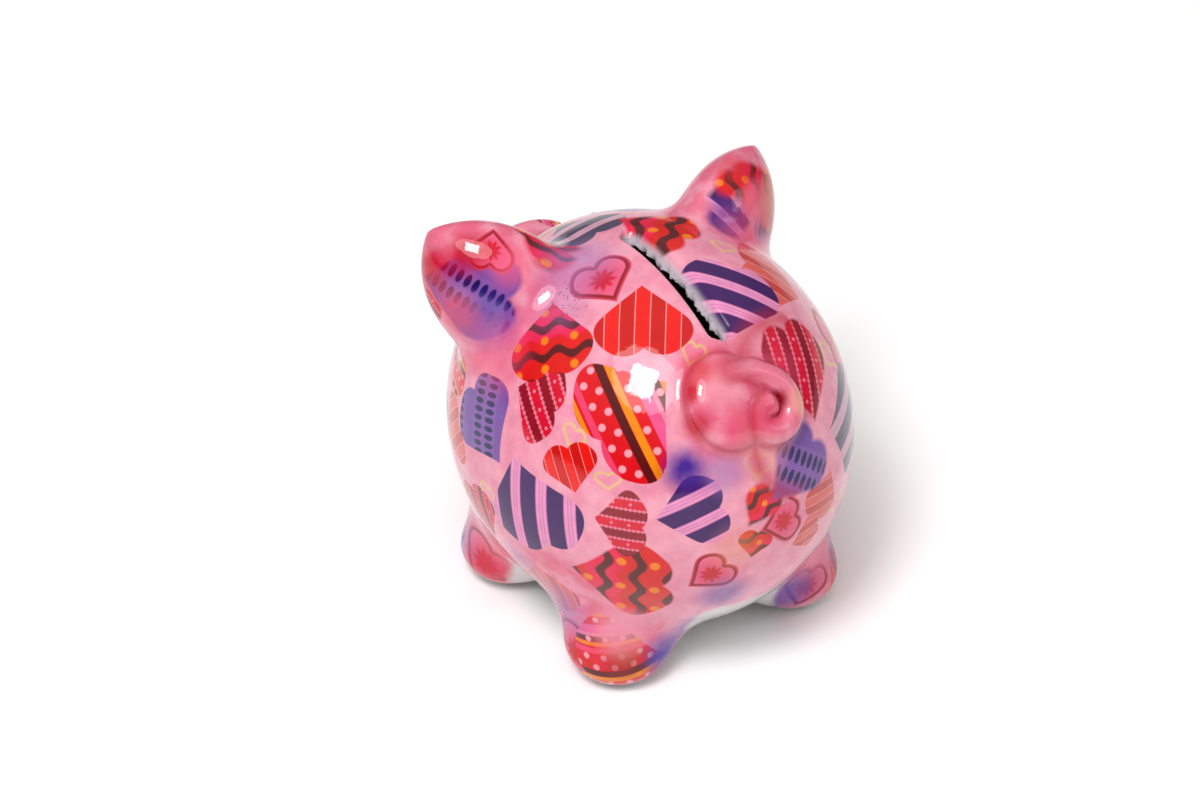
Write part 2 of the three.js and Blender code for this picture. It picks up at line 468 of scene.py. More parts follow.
@dataclass
class Snout:
    """A fat disc with a rounded rim and two blind nostrils."""

    node: str = "snout"
    fillet: float = 5.0
    half_width: float = 19.5
    half_height: float = 19.0
    reach: float = 60.5
    rise: float = 5.4
    rim_round: float = 4.0
    crown: float = 1.0
    nostril_half: tuple[float, float, float] = (2.6, 4.2, 4.0)
    nostril_spacing: float = 14.5
    nostril_rise: float = 1.0

    def distance(self, points: np.ndarray) -> np.ndarray:
        """Near distances to the snout.

        Args:
            points: places from the ball's middle.

        Returns:
            Distances, negative inside.
        """
        up = points[:, 2] - self.rise
        ring = np.hypot(points[:, 0], up * self.half_width / self.half_height)
        out = -points[:, 1] + self.crown * np.clip(ring / self.half_width, 0, 1.2) ** 2
        side = ring - (self.half_width - self.rim_round)
        front = out - (self.reach - self.rim_round)
        disc = np.hypot(np.maximum(side, 0), np.maximum(front, 0))
        disc = disc + np.minimum(np.maximum(side, front), 0) - self.rim_round
        disc = np.maximum(disc, self.reach / 2 + points[:, 1])
        for sign in (-1, 1):
            middle = np.array([
                sign * self.nostril_spacing / 2, -self.reach, self.rise + self.nostril_rise])
            disc = smooth_max(disc, -ellipsoid_distance(points - middle, np.array(self.nostril_half)), 1.8)
        return disc

    def base(self, centre: np.ndarray) -> bpy.types.Object:
        """Adds the snout's rough form.

        Args:
            centre: the ball's middle.

        Returns:
            The new object.
        """
        middle = centre + np.array([0, -self.reach * 0.75, self.rise])
        axes = np.array([[1, 0, 0], [0, 0, 1], [0, -1, 0]])
        half = (self.half_width, self.half_height, self.reach * 0.25)
        return cylinder(self.node + "_form", millimetres(middle, axes, half))


@dataclass
class Tail:
    """A tail pressed onto the rump: a round pad, and a cord that curls over it."""

    ball: Ball
    node: str = "curly_tail"
    fillet: float = 3.2
    crease: float = 1.1
    pitch: float = 37.3
    side: float = 1.4
    pad_half: tuple[float, float, float] = (9.8, 11.4, 4.4)
    pad_centre: tuple[float, float] = (-4.8, 1.6)
    curl: tuple = (
        (-2.5, 7.4), (4.4, 5.2), (9.6, 0.4), (10.2, -5.6), (6.4, -9.4), (1.2, -7.8), (0.8, -3.6), (4.0, -2.8))
    cord_radius: float = 3.2
    cord_lift: float = 1.2

    def __post_init__(self) -> None:
        """Works out the plane that touches the rump, and the cord's route on it."""
        half = np.array(self.ball.half)
        pitch = math.radians(self.pitch)
        flat = math.sqrt(1 - (self.side / half[0]) ** 2)
        turn = math.atan2(half[1] * math.sin(pitch), half[2] * math.cos(pitch))
        self.origin = np.array([self.side, half[1] * flat * math.cos(turn), half[2] * flat * math.sin(turn)])
        out = self.origin / half**2
        out = out / np.linalg.norm(out)
        right = np.array([-1.0, 0, 0]) + out * out[0]
        right = right / np.linalg.norm(right)
        self.axes = np.array([right, np.cross(out, right), out])
        knots = np.array([(x, y, self.cord_lift - self.sag(x, y)) for x, y in self.curl])
        self.route = self.curve(knots)

    def sag(self, x: float, y: float) -> float:
        """How far the ball's skin lies below the plane."""
        return x * x / (2 * self.ball.half[0]) + y * y / (2 * self.ball.half[1])

    @staticmethod
    def curve(knots: np.ndarray, steps: int = 6) -> np.ndarray:
        """Draws a smooth curve through points.

        Args:
            knots: the points.
            steps: pieces between two of them.

        Returns:
            The points of the curve.
        """
        padded = np.vstack([2 * knots[0] - knots[1], knots, 2 * knots[-1] - knots[-2]])
        places = []
        for i in range(1, len(padded) - 2):
            before, start, end, after = padded[i - 1 : i + 3]
            for t in np.arange(steps) / steps:
                places.append(0.5 * (
                    2 * start + (end - before) * t
                    + (2 * before - 5 * start + 4 * end - after) * t**2
                    + (3 * start - before - 3 * end + after) * t**3))
        places.append(knots[-1])
        return np.array(places)

    def on_plane(self, points: np.ndarray) -> np.ndarray:
        """Turns places from the ball's middle into places on the tail's plane."""
        return (points - self.origin) @ self.axes.T

    def pad_distance(self, place: np.ndarray) -> np.ndarray:
        """Distances to the round pad."""
        x, y = self.pad_centre
        return ellipsoid_distance(place - np.array([x, y, -self.sag(x, y)]), np.array(self.pad_half))

    def cord_distance(self, place: np.ndarray) -> np.ndarray:
        """Distances to the cord.

        Args:
            place: places on the tail's plane.

        Returns:
            Distances, negative inside.
        """
        nearest = np.full(len(place), 60.0)
        close = np.linalg.norm(place, axis=1) < 30
        spots = place[close]
        best = np.full(len(spots), 60.0)
        for start, end in zip(self.route[:-1], self.route[1:]):
            step = end - start
            share = np.clip((spots - start) @ step / (step @ step), 0, 1)
            best = np.minimum(best, np.linalg.norm(spots - start - share[:, None] * step, axis=1))
        nearest[close] = best
        return nearest - self.cord_radius

    def distance(self, points: np.ndarray) -> np.ndarray:
        """Near distances to the tail."""
        place = self.on_plane(points)
        return smooth_min(self.pad_distance(place), self.cord_distance(place), self.crease)

    def base(self, centre: np.ndarray) -> bpy.types.Object:
        """Adds the pad's rough form.

        Args:
            centre: the ball's middle.

        Returns:
            The new object.
        """
        x, y = self.pad_centre
        middle = np.array([x, y, -self.sag(x, y)]) @ self.axes + self.origin + centre
        return sphere(self.node + "_form", millimetres(middle, self.axes, self.pad_half))

    def cord(self, centre: np.ndarray) -> bpy.types.Object:
        """Adds the cord's rough form: a bevelled curve, made into a mesh.

        Args:
            centre: the ball's middle.

        Returns:
            The new object.
        """
        route = (self.route @ self.axes + self.origin + centre) * MM
        pick()
        bpy.ops.curve.primitive_bezier_curve_add()
        obj = bpy.context.object
        obj.data.splines.clear()
        spline = obj.data.splines.new("POLY")
        spline.points.add(len(route) - 1)
        spline.points.foreach_set("co", np.column_stack([route, np.ones(len(route))]).ravel())
        obj.data.dimensions = "3D"
        obj.data.bevel_depth = self.cord_radius * MM
        obj.data.bevel_resolution = 4
        obj.data.use_fill_caps = True
        bpy.ops.object.convert(target="MESH")
        obj = bpy.context.object
        obj.name = obj.data.name = "tail_cord_form"
        return obj


@dataclass
class CoinSlot:
    """The slot that the coins go in by, with rounded rims and a chipped inner edge."""

    half_width: float = 2.4
    half_length: float = 20.0
    behind_top: float = 9.1
    rim: float = 3.4
    sharp_rim: float = 0.8
    chips: float = 1.0
    lean: float = 1.5

    def distance(self, points: np.ndarray, depth: np.ndarray) -> np.ndarray:
        """Distances to the slot's prism, which runs straight down.

        Args:
            points: places from the ball's middle.
            depth: how deep under the outer skin each place is.

        Returns:
            Distances, negative inside the slot.
        """
        y = points[:, 1] - self.behind_top
        wave = np.sin(y * 0.8) * np.sin(y * 0.37 + 1.1) + 0.3 * np.sin(y * 1.9 + 2.0)
        ragged = self.chips * np.clip(wave, -0.4, 1) * smooth_step(2.2, 4.2, depth)
        lean = self.lean * smooth_step(0.8, 4.2, depth) * (1 - smooth_step(-0.4, 0.4, points[:, 0]))
        side = np.abs(points[:, 0]) - ragged + lean
        along = np.abs(y) - (self.half_length - self.half_width)
        ring = np.hypot(side, np.maximum(along, 0)) - self.half_width
        return np.maximum(ring, 8 - points[:, 2])

    def base(self, centre: np.ndarray) -> bpy.types.Object:
        """Adds the slot's rough form.

        Args:
            centre: the ball's middle.

        Returns:
            The new object.
        """
        middle = centre + np.array([0, self.behind_top, 48])
        half = (self.half_width, self.half_length, 20)
        pick()
        bpy.ops.mesh.primitive_cube_add(size=2)
        return settle(bpy.context.object, "coin_slot_form", millimetres(middle, half=half))


@dataclass
class PlugSeat:
    """The thick pad in the belly, with the hole and the seat for the plug."""

    floor: float
    hole_radius: float = 14.0
    seat_radius: float = 17.5
    seat_height: float = 5.8
    pad_radius: float = 21.5
    pad_height: float = 9.8
    through: float = 4.0

    @staticmethod
    def post(points: np.ndarray, radius: float, top: np.ndarray | float) -> np.ndarray:
        """Distances to a post about the upright axis that ends at a height."""
        return np.maximum(np.hypot(points[:, 0], points[:, 1]) - radius, points[:, 2] - top)

    def pad(self, points: np.ndarray) -> np.ndarray:
        """Distances to the pad."""
        return self.post(points, self.pad_radius, self.pad_height - self.floor)

    def hole(self, points: np.ndarray) -> np.ndarray:
        """Distances to the hole through the pad."""
        return self.post(points, self.hole_radius, self.pad_height + self.through - self.floor)

    def seat(self, points: np.ndarray) -> np.ndarray:
        """Distances to the seat under the hole."""
        return self.post(points, self.seat_radius, self.seat_height - self.floor)

    def cutter(self, name: str, radius: float, top: float, centre: np.ndarray) -> bpy.types.Object:
        """Adds a post from below the floor up to a height.

        Args:
            name: its name.
            radius: its radius.
            top: its top above the floor.
            centre: the ball's middle.

        Returns:
            The new object.
        """
        low = -self.through
        middle = np.array([centre[0], centre[1], (low + top) / 2])
        return cylinder(name, millimetres(middle, half=(radius, radius, (top - low) / 2)))


def facing_out(obj: bpy.types.Object) -> bpy.types.Object:
    """Makes a closed mesh's faces point outwards.

    Args:
        obj: the mesh object.

    Returns:
        The same object.
    """
    pick(obj)
    bpy.ops.object.mode_set(mode="EDIT")
    bpy.ops.mesh.select_all(action="SELECT")
    bpy.ops.mesh.normals_make_consistent(inside=False)
    bpy.ops.object.mode_set(mode="OBJECT")
    return obj


def dress(piece: bpy.types.Object, node: str, finish: bpy.types.Material) -> None:
    """Gives a finished piece its finish and its body, and hides the CAD node it replaces.

    Args:
        piece: the piece.
        node: the CAD node's name.
        finish: the piece's material.
    """
    piece.data.materials.clear()
    piece.data.materials.append(finish)
    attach(piece, "bank")
    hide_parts(node)
    log.info("%s: %d faces", piece.name, len(piece.data.polygons))


# ---- The print ----------------------------------------------------------------------------------


class HeartKind(IntEnum):
    """How a heart is filled."""

    BROAD_STRIPES = 1
    WIDE_BANDS = 2
    WAVES_AND_DOTS = 3
    RIBBONS = 4
    LACE = 5
    DASHES = 6
    FLOWER = 7
    OUTLINE = 8


class Palette(Enum):
    """Three colours for a heart: its ground, its figure and its accent."""

    RED = (colour(246, 56, 52), colour(216, 34, 30), colour(255, 166, 166))
    CORAL = (colour(240, 122, 118), colour(220, 96, 96), colour(255, 190, 184))
    PURPLE = (colour(74, 24, 104), colour(246, 168, 205), colour(206, 112, 182))
    SMOKE = (colour(96, 84, 110), colour(232, 182, 200), colour(200, 150, 180))
    BERRY = (colour(226, 32, 62), colour(158, 14, 42), colour(248, 150, 172))
    WARM = (colour(232, 40, 34), colour(104, 8, 8), colour(255, 142, 12))
    FIESTA = (colour(232, 28, 40), colour(102, 10, 8), colour(255, 150, 0))
    LAVENDER = (colour(146, 102, 178), colour(34, 18, 96), colour(92, 60, 150))
    BLOSSOM = (colour(250, 128, 162), colour(164, 20, 36), colour(218, 24, 50))
    BUTTER = (colour(246, 220, 160), colour(240, 214, 140), colour(240, 214, 140))


@dataclass
class HeartPrint:
    """One printed heart.

    Attributes:
        azimuth: the side of the bank, or of a limb, that it is seen from, in degrees.
        elevation: how far up it is seen from, in degrees.
        turn: which way its lobes point, in degrees clockwise from up.
        length: from its point to the top of its lobes, in millimetres.
        width: across its lobes.
        kind: how it is filled.
        palette: its colours.
        period: how wide one repeat of its stripes is, in millimetres.
        slant: how its stripes turn against its own length, in degrees.
        limb: the limb that it is on, or nothing for the ball.
        soft: how blurred its edge is, in millimetres.
        full: how far its sides swell.
    """

    azimuth: float
    elevation: float
    turn: float
    length: float
    width: float
    kind: HeartKind
    palette: Palette
    period: float = 4.0
    slant: float = 0.0
    limb: str = ""
    soft: float = 0.12
    full: float = 0.14


K, P = HeartKind, Palette
HEARTS = [
    # The rump and the pig's left side.
    HeartPrint(140, 65, 169, 19, 21.5, K.BROAD_STRIPES, P.RED, 7.4, 2),
    HeartPrint(95, 73, -78, 15, 15, K.FLOWER, P.BLOSSOM),
    HeartPrint(95, 51, 138, 18.5, 21, K.WAVES_AND_DOTS, P.WARM, 7.2, 90),
    HeartPrint(138, 38, -134, 23, 29, K.RIBBONS, P.FIESTA, 22, 100),
    HeartPrint(103, 34.5, 90, 14, 16.5, K.LACE, P.BERRY, 6.2, 42, full=0.3),
    HeartPrint(84, 18, -58, 22, 19, K.DASHES, P.LAVENDER, 4.8, 38, full=0.3),
    HeartPrint(121, 20, -26, 12, 13.5, K.BROAD_STRIPES, P.RED, 5.2, -4),
    HeartPrint(108, 3, 152, 25, 26, K.WIDE_BANDS, P.PURPLE, 8.2, 22, full=0.22),
    HeartPrint(137, 7, 91, 13, 15, K.LACE, P.BERRY, 5.6, 0, full=0.35),
    HeartPrint(156, 11, 76, 17, 18, K.WIDE_BANDS, P.PURPLE, 6.8, -10),
    HeartPrint(137, -14, 92, 25, 24, K.WAVES_AND_DOTS, P.WARM, 8.2, 92, soft=0.3, full=0.3),
    HeartPrint(161, -10, 54, 12.5, 13, K.FLOWER, P.BLOSSOM),
    HeartPrint(110, -30, 165, 15, 17, K.BROAD_STRIPES, P.CORAL, 6.5),
    HeartPrint(66, 3, 40, 14, 18, K.BROAD_STRIPES, P.CORAL, 6),
    HeartPrint(84, -14, -30, 15, 17, K.LACE, P.BERRY, 5.6, 20),
    # The back, beside the slot, and the pig's right side.
    HeartPrint(203, 63, 60, 24, 24, K.WIDE_BANDS, P.PURPLE, 7.6, 96, full=0.2),
    HeartPrint(240, 54, 8, 18, 26, K.BROAD_STRIPES, P.CORAL, 7.6),
    HeartPrint(205, 36, 22, 25, 20, K.LACE, P.BERRY, 6.8, 14, soft=0.4),
    HeartPrint(217, 12, 120, 24, 25, K.WIDE_BANDS, P.SMOKE, 8.2, 148),
    HeartPrint(188, 15, 62, 20, 18, K.DASHES, P.LAVENDER, 5.2, 70, soft=0.6),
    HeartPrint(197, 2, -140, 12, 13, K.BROAD_STRIPES, P.CORAL, 5, 60),
    HeartPrint(175, 9, 40, 11, 10, K.WAVES_AND_DOTS, P.WARM, 5.4, 20, soft=0.5),
    HeartPrint(181, 2, 84, 12, 12, K.FLOWER, P.BLOSSOM, soft=0.4),
    HeartPrint(190, -7, 80, 10, 9, K.BROAD_STRIPES, P.CORAL, 4.6, 10),
    HeartPrint(173, -2, 20, 8, 9, K.WAVES_AND_DOTS, P.WARM, 5, 60),
    HeartPrint(320, 77, -70, 21, 18, K.WAVES_AND_DOTS, P.WARM, 8.5, 70, soft=0.5),
    HeartPrint(12, 62, 14, 19, 20, K.WIDE_BANDS, P.SMOKE, 7.2, 90),
    HeartPrint(50, 63, 12, 17, 15, K.WAVES_AND_DOTS, P.WARM, 6.4, 0, soft=0.9),
    HeartPrint(237, 27, -60, 15, 17, K.FLOWER, P.BLOSSOM),
    HeartPrint(226, -9, 150, 17, 19, K.WAVES_AND_DOTS, P.WARM, 6.6),
    HeartPrint(246, 6, 20, 20, 22, K.RIBBONS, P.FIESTA, 15, 30),
    HeartPrint(262, 34, 160, 19, 21, K.DASHES, P.LAVENDER, 5),
    HeartPrint(270, 8, -40, 15, 16, K.BROAD_STRIPES, P.RED, 6),
    HeartPrint(286, 22, 60, 19, 21, K.WIDE_BANDS, P.PURPLE, 7.4, 10),
    HeartPrint(262, -16, 100, 16, 17, K.LACE, P.BERRY, 5.6),
    HeartPrint(288, -10, 190, 17, 18, K.FLOWER, P.BLOSSOM),
    HeartPrint(304, 4, 30, 16, 18, K.WAVES_AND_DOTS, P.WARM, 6.4, 90),
    HeartPrint(308, 28, -30, 17, 18, K.LACE, P.BERRY, 6, 30),
    # The face side.
    HeartPrint(58, 24, -150, 16, 18, K.RIBBONS, P.FIESTA, 14, 60),
    HeartPrint(48, -2, 20, 18, 20, K.WIDE_BANDS, P.PURPLE, 7.2, 80),
    HeartPrint(34, -18, 130, 14, 15, K.BROAD_STRIPES, P.RED, 5.4),
    HeartPrint(29, 17, 60, 14, 15, K.FLOWER, P.BLOSSOM),
    HeartPrint(36, 38, 10, 14, 15, K.LACE, P.BERRY, 5.6, 60),
    HeartPrint(8, 46, 150, 15, 16, K.WAVES_AND_DOTS, P.WARM, 6, 0),
    HeartPrint(338, 51, 30, 15, 17, K.DASHES, P.LAVENDER, 4.6),
    HeartPrint(322, 48, 200, 14, 15, K.FLOWER, P.BLOSSOM),
    HeartPrint(331, 17, -60, 15, 17, K.BROAD_STRIPES, P.RED, 6),
    HeartPrint(326, -14, 110, 17, 18, K.DASHES, P.LAVENDER, 5),
    HeartPrint(2, -24, 10, 15, 16, K.LACE, P.BERRY, 5.6, 90),
    HeartPrint(336, -26, 150, 13, 14, K.BROAD_STRIPES, P.CORAL, 5),
    HeartPrint(329, 32, -50, 14, 15, K.RIBBONS, P.FIESTA, 13, 40, limb="snout"),
    HeartPrint(38, -10, 20, 13, 14, K.BROAD_STRIPES, P.RED, 5, 20, limb="snout"),
    HeartPrint(345, -38, 100, 12, 13, K.WIDE_BANDS, P.PURPLE, 5.6, 20, limb="snout"),
    HeartPrint(2, 40, 0, 5, 6, K.OUTLINE, P.BUTTER, limb="snout", soft=0.35),
    # Small pale outlines between them.
    *(HeartPrint(*place, K.OUTLINE, P.BUTTER, soft=soft) for *place, soft in (
        (164, 53, 31, 7, 6, 0.35), (120, 29, 16, 6, 6.5, 0.35), (133, 19, -8, 5, 7, 0.35),
        (90, -3, 6, 6, 6, 0.35), (223, 30, 79, 7, 8, 0.35), (256, 68, 120, 6, 6, 0.35),
        (176, 20, 20, 7, 8, 1.4), (204, -6, 0, 6, 7, 0.35), (244, -10, 40, 6, 7, 0.35))),
    # The ears.
    HeartPrint(172, 66, -165, 11, 11.5, K.FLOWER, P.BLOSSOM, limb="left_ear"),
    HeartPrint(124, 14, 96, 25, 21, K.DASHES, P.LAVENDER, 5.2, 20, limb="left_ear", soft=0.5, full=0.35),
    HeartPrint(20, 30, 20, 14, 14, K.WIDE_BANDS, P.PURPLE, 5.6, 0, limb="left_ear", soft=0.3),
    HeartPrint(60, -20, 140, 13, 13, K.LACE, P.BERRY, 5, 0, limb="left_ear", soft=0.3),
    HeartPrint(176, 56, 10, 12, 13, K.WAVES_AND_DOTS, P.WARM, 7, 20, limb="right_ear", soft=1.0),
    HeartPrint(205, 30, 120, 17, 14, K.WAVES_AND_DOTS, P.WARM, 6, 70, limb="right_ear", soft=1.2),
    HeartPrint(190, 8, 60, 12, 12, K.DASHES, P.LAVENDER, 5, 70, limb="right_ear", soft=1.6),
    HeartPrint(150, 30, -60, 14, 12, K.WIDE_BANDS, P.PURPLE, 6, 40, limb="right_ear", soft=0.8),
    HeartPrint(340, 30, 20, 14, 14, K.FLOWER, P.BLOSSOM, limb="right_ear", soft=0.3),
    # The feet.
    HeartPrint(158, -16, -100, 26, 30, K.RIBBONS, P.FIESTA, 19, 178, limb="rear_left_foot", full=0.3),
    HeartPrint(84, 0, 30, 15, 16, K.FLOWER, P.BLOSSOM, limb="rear_left_foot", soft=0.4),
    HeartPrint(160, 6, 20, 13, 13, K.FLOWER, P.BLOSSOM, limb="rear_right_foot", soft=0.4),
    HeartPrint(236, 0, 150, 17, 17, K.BROAD_STRIPES, P.RED, 6, 30, limb="rear_right_foot"),
    HeartPrint(120, 2, 30, 17, 18, K.FLOWER, P.BLOSSOM, limb="front_left_foot", soft=0.6),
    HeartPrint(30, 0, 160, 16, 17, K.WIDE_BANDS, P.PURPLE, 6, 20, limb="front_left_foot"),
    HeartPrint(330, 0, 160, 17, 17, K.LACE, P.BERRY, 6, 20, limb="front_right_foot"),
    HeartPrint(260, 0, -30, 16, 16, K.DASHES, P.LAVENDER, 5, 20, limb="front_right_foot"),
]


@dataclass
class SoftPatch:
    """A soft patch of colour that runs under the glaze; a few of them are painted shade.

    Attributes:
        azimuth: the side of the bank, or of a limb, that it is on, in degrees.
        elevation: how far up it is, in degrees.
        radius: how far it reaches, in millimetres.
        tint: its colour.
        strength: how much of the print it hides at its middle.
        limb: the limb that it is on, or nothing for the ball.
    """

    azimuth: float
    elevation: float
    radius: float
    tint: Colour
    strength: float
    limb: str = ""


VIOLET = colour(98, 78, 178)
LILAC = colour(176, 140, 196)
ROSE = colour(252, 120, 150)
WINE = colour(214, 42, 60)
PEACH = colour(252, 178, 130)
AIRBRUSH_AND_PAINTED_SHADE = [
    SoftPatch(150, -22, 11, VIOLET, 0.85, "left_ear"),
    SoftPatch(112, 60, 8, colour(206, 34, 60), 0.9, "left_ear"),
    SoftPatch(74, 24, 9, colour(206, 34, 60), 0.85, "left_ear"),
    SoftPatch(112, -16, 9, colour(236, 100, 120), 0.7, "left_ear"),
    SoftPatch(190, 40, 8, ROSE, 0.6, "left_ear"),
    SoftPatch(184, 34, 8, colour(248, 150, 166), 0.8, "right_ear"),
    SoftPatch(222, 22, 8, colour(150, 40, 20), 0.6, "right_ear"),
    SoftPatch(142, 26, 8, colour(96, 50, 150), 0.7, "right_ear"),
    SoftPatch(170, 78, 7, WINE, 0.7, "right_ear"),
    SoftPatch(130, -10, 12, colour(228, 60, 90), 0.7, "front_left_foot"),
    SoftPatch(120, -4, 12, colour(104, 84, 180), 0.85, "rear_right_foot"),
    SoftPatch(150, 14, 9, colour(104, 84, 180), 0.7, "rear_right_foot"),
    SoftPatch(140, 22, 8, colour(246, 60, 110), 0.6, "rear_left_foot"),
    SoftPatch(208, -6, 8, VIOLET, 0.75, "rear_left_foot"),
    SoftPatch(152, 8, 7, colour(150, 30, 20), 0.6, "rear_left_foot"),
    SoftPatch(85, 60, 12, LILAC, 0.3),
    SoftPatch(60, 70, 14, LILAC, 0.55),
    SoftPatch(78, 38, 14, ROSE, 0.5),
    SoftPatch(270, 55, 12, ROSE, 0.55),
    SoftPatch(200, 25, 10, ROSE, 0.5, "right_ear"),
    SoftPatch(230, 10, 9, PEACH, 0.45, "right_ear"),
    SoftPatch(176, 24, 12, colour(250, 176, 186), 0.75),
    SoftPatch(155, 23, 8, colour(92, 62, 160), 0.95),
    SoftPatch(166, 21, 8, LILAC, 0.6),
    SoftPatch(165, 50, 10, ROSE, 0.35),
    SoftPatch(196, 40, 12, ROSE, 0.35),
    SoftPatch(168, -2, 10, PEACH, 0.35),
    # Painted shade: a violet darkening along the belly's lower edge between the rear feet.
    SoftPatch(166, -20, 10, colour(104, 92, 172), 0.65),
    SoftPatch(100, -26, 9, colour(130, 112, 182), 0.4),
    SoftPatch(150, 34, 9, PEACH, 0.3, "rear_left_foot"),
    SoftPatch(150, 50, 11, colour(252, 170, 190), 0.8, "rear_left_foot"),
    SoftPatch(206, 10, 8, VIOLET, 0.65, "rear_left_foot"),
    SoftPatch(60, 40, 12, LILAC, 0.6, "rear_left_foot"),
    SoftPatch(110, 10, 12, VIOLET, 0.75, "rear_right_foot"),
    SoftPatch(250, 30, 12, VIOLET, 0.6, "rear_right_foot"),
    SoftPatch(180, 40, 10, ROSE, 0.6, "rear_right_foot"),
    SoftPatch(150, 20, 12, ROSE, 0.6, "front_left_foot"),
    SoftPatch(60, 20, 12, LILAC, 0.5, "front_left_foot"),
    SoftPatch(300, 20, 12, LILAC, 0.5, "front_right_foot"),
    SoftPatch(0, 40, 12, ROSE, 0.5, "snout"),
    SoftPatch(-6, -5, 9, colour(246, 112, 138), 0.75, "curly_tail"),
    SoftPatch(-6, 6, 9, colour(250, 164, 180), 0.8, "curly_tail"),
    SoftPatch(3, -5, 7, colour(240, 92, 124), 0.8, "curly_tail"),
    SoftPatch(8, 3, 9, colour(246, 146, 168), 0.8, "curly_tail"),
    SoftPatch(13, -5, 6, colour(250, 206, 160), 0.6, "curly_tail"),
    # Painted shade: dark red along the crease at the left border of the tail's pad.
    SoftPatch(-14.5, -1, 5, colour(206, 44, 60), 0.85, "curly_tail"),
    SoftPatch(-13, 7, 4.5, colour(214, 56, 66), 0.85, "curly_tail"),
    SoftPatch(-9, 11.5, 6, colour(226, 92, 96), 0.8, "curly_tail"),
    # Painted shade: the dark hole in the middle of the tail's curl.
    SoftPatch(7.0, -2.6, 3.6, colour(150, 8, 12), 1.0, "curly_tail"),
]


class Layer(Enum):
    """The two layers of print that one spot can show."""

    TOP = "top"
    UNDER = "under"


def write(mesh: bpy.types.Mesh, name: str, kind: str, domain: str, values: np.ndarray) -> None:
    """Writes one attribute.

    Args:
        mesh: the mesh.
        name: the attribute's name.
        kind: its data type.
        domain: POINT or CORNER.
        values: its values, one row for each point or corner.
    """
    attribute = mesh.attributes.new(name, kind, domain)
    key = {"FLOAT": "value", "FLOAT_VECTOR": "vector", "FLOAT_COLOR": "color"}[kind]
    attribute.data.foreach_set(key, np.ascontiguousarray(values, np.float32).ravel())


@dataclass
class PaperLayer:
    """One layer of print: what each corner of the skin shows on it.

    Attributes:
        name: the layer's name.
        corners: how many corners the skin has.
        faces: how many faces it has.
    """

    name: str
    corners: int
    faces: int

    def __post_init__(self) -> None:
        """Starts with no hearts: every corner lies far outside one."""
        self.place = np.tile([0.0, -9.0, 1.0], (self.corners, 1))
        self.weave = np.zeros((self.corners, 3))
        self.inks = np.zeros((self.corners, 3, 4))
        self.taken = np.zeros(self.faces, bool)

    def claim(self, face: np.ndarray) -> np.ndarray:
        """Takes the faces that are still free.

        Args:
            face: whether each face is wanted.

        Returns:
            Whether each face is taken now.
        """
        free = face & ~self.taken
        self.taken |= free
        return free

    def save(self, mesh: bpy.types.Mesh) -> None:
        """Writes the layer's attributes.

        Args:
            mesh: the skin's mesh.
        """
        write(mesh, f"{self.name}_place", "FLOAT_VECTOR", "CORNER", self.place)
        write(mesh, f"{self.name}_weave", "FLOAT_VECTOR", "CORNER", self.weave)
        for number, ink in enumerate(("ground", "figure", "accent")):
            write(mesh, f"{self.name}_{ink}", "FLOAT_COLOR", "CORNER", self.inks[:, number])


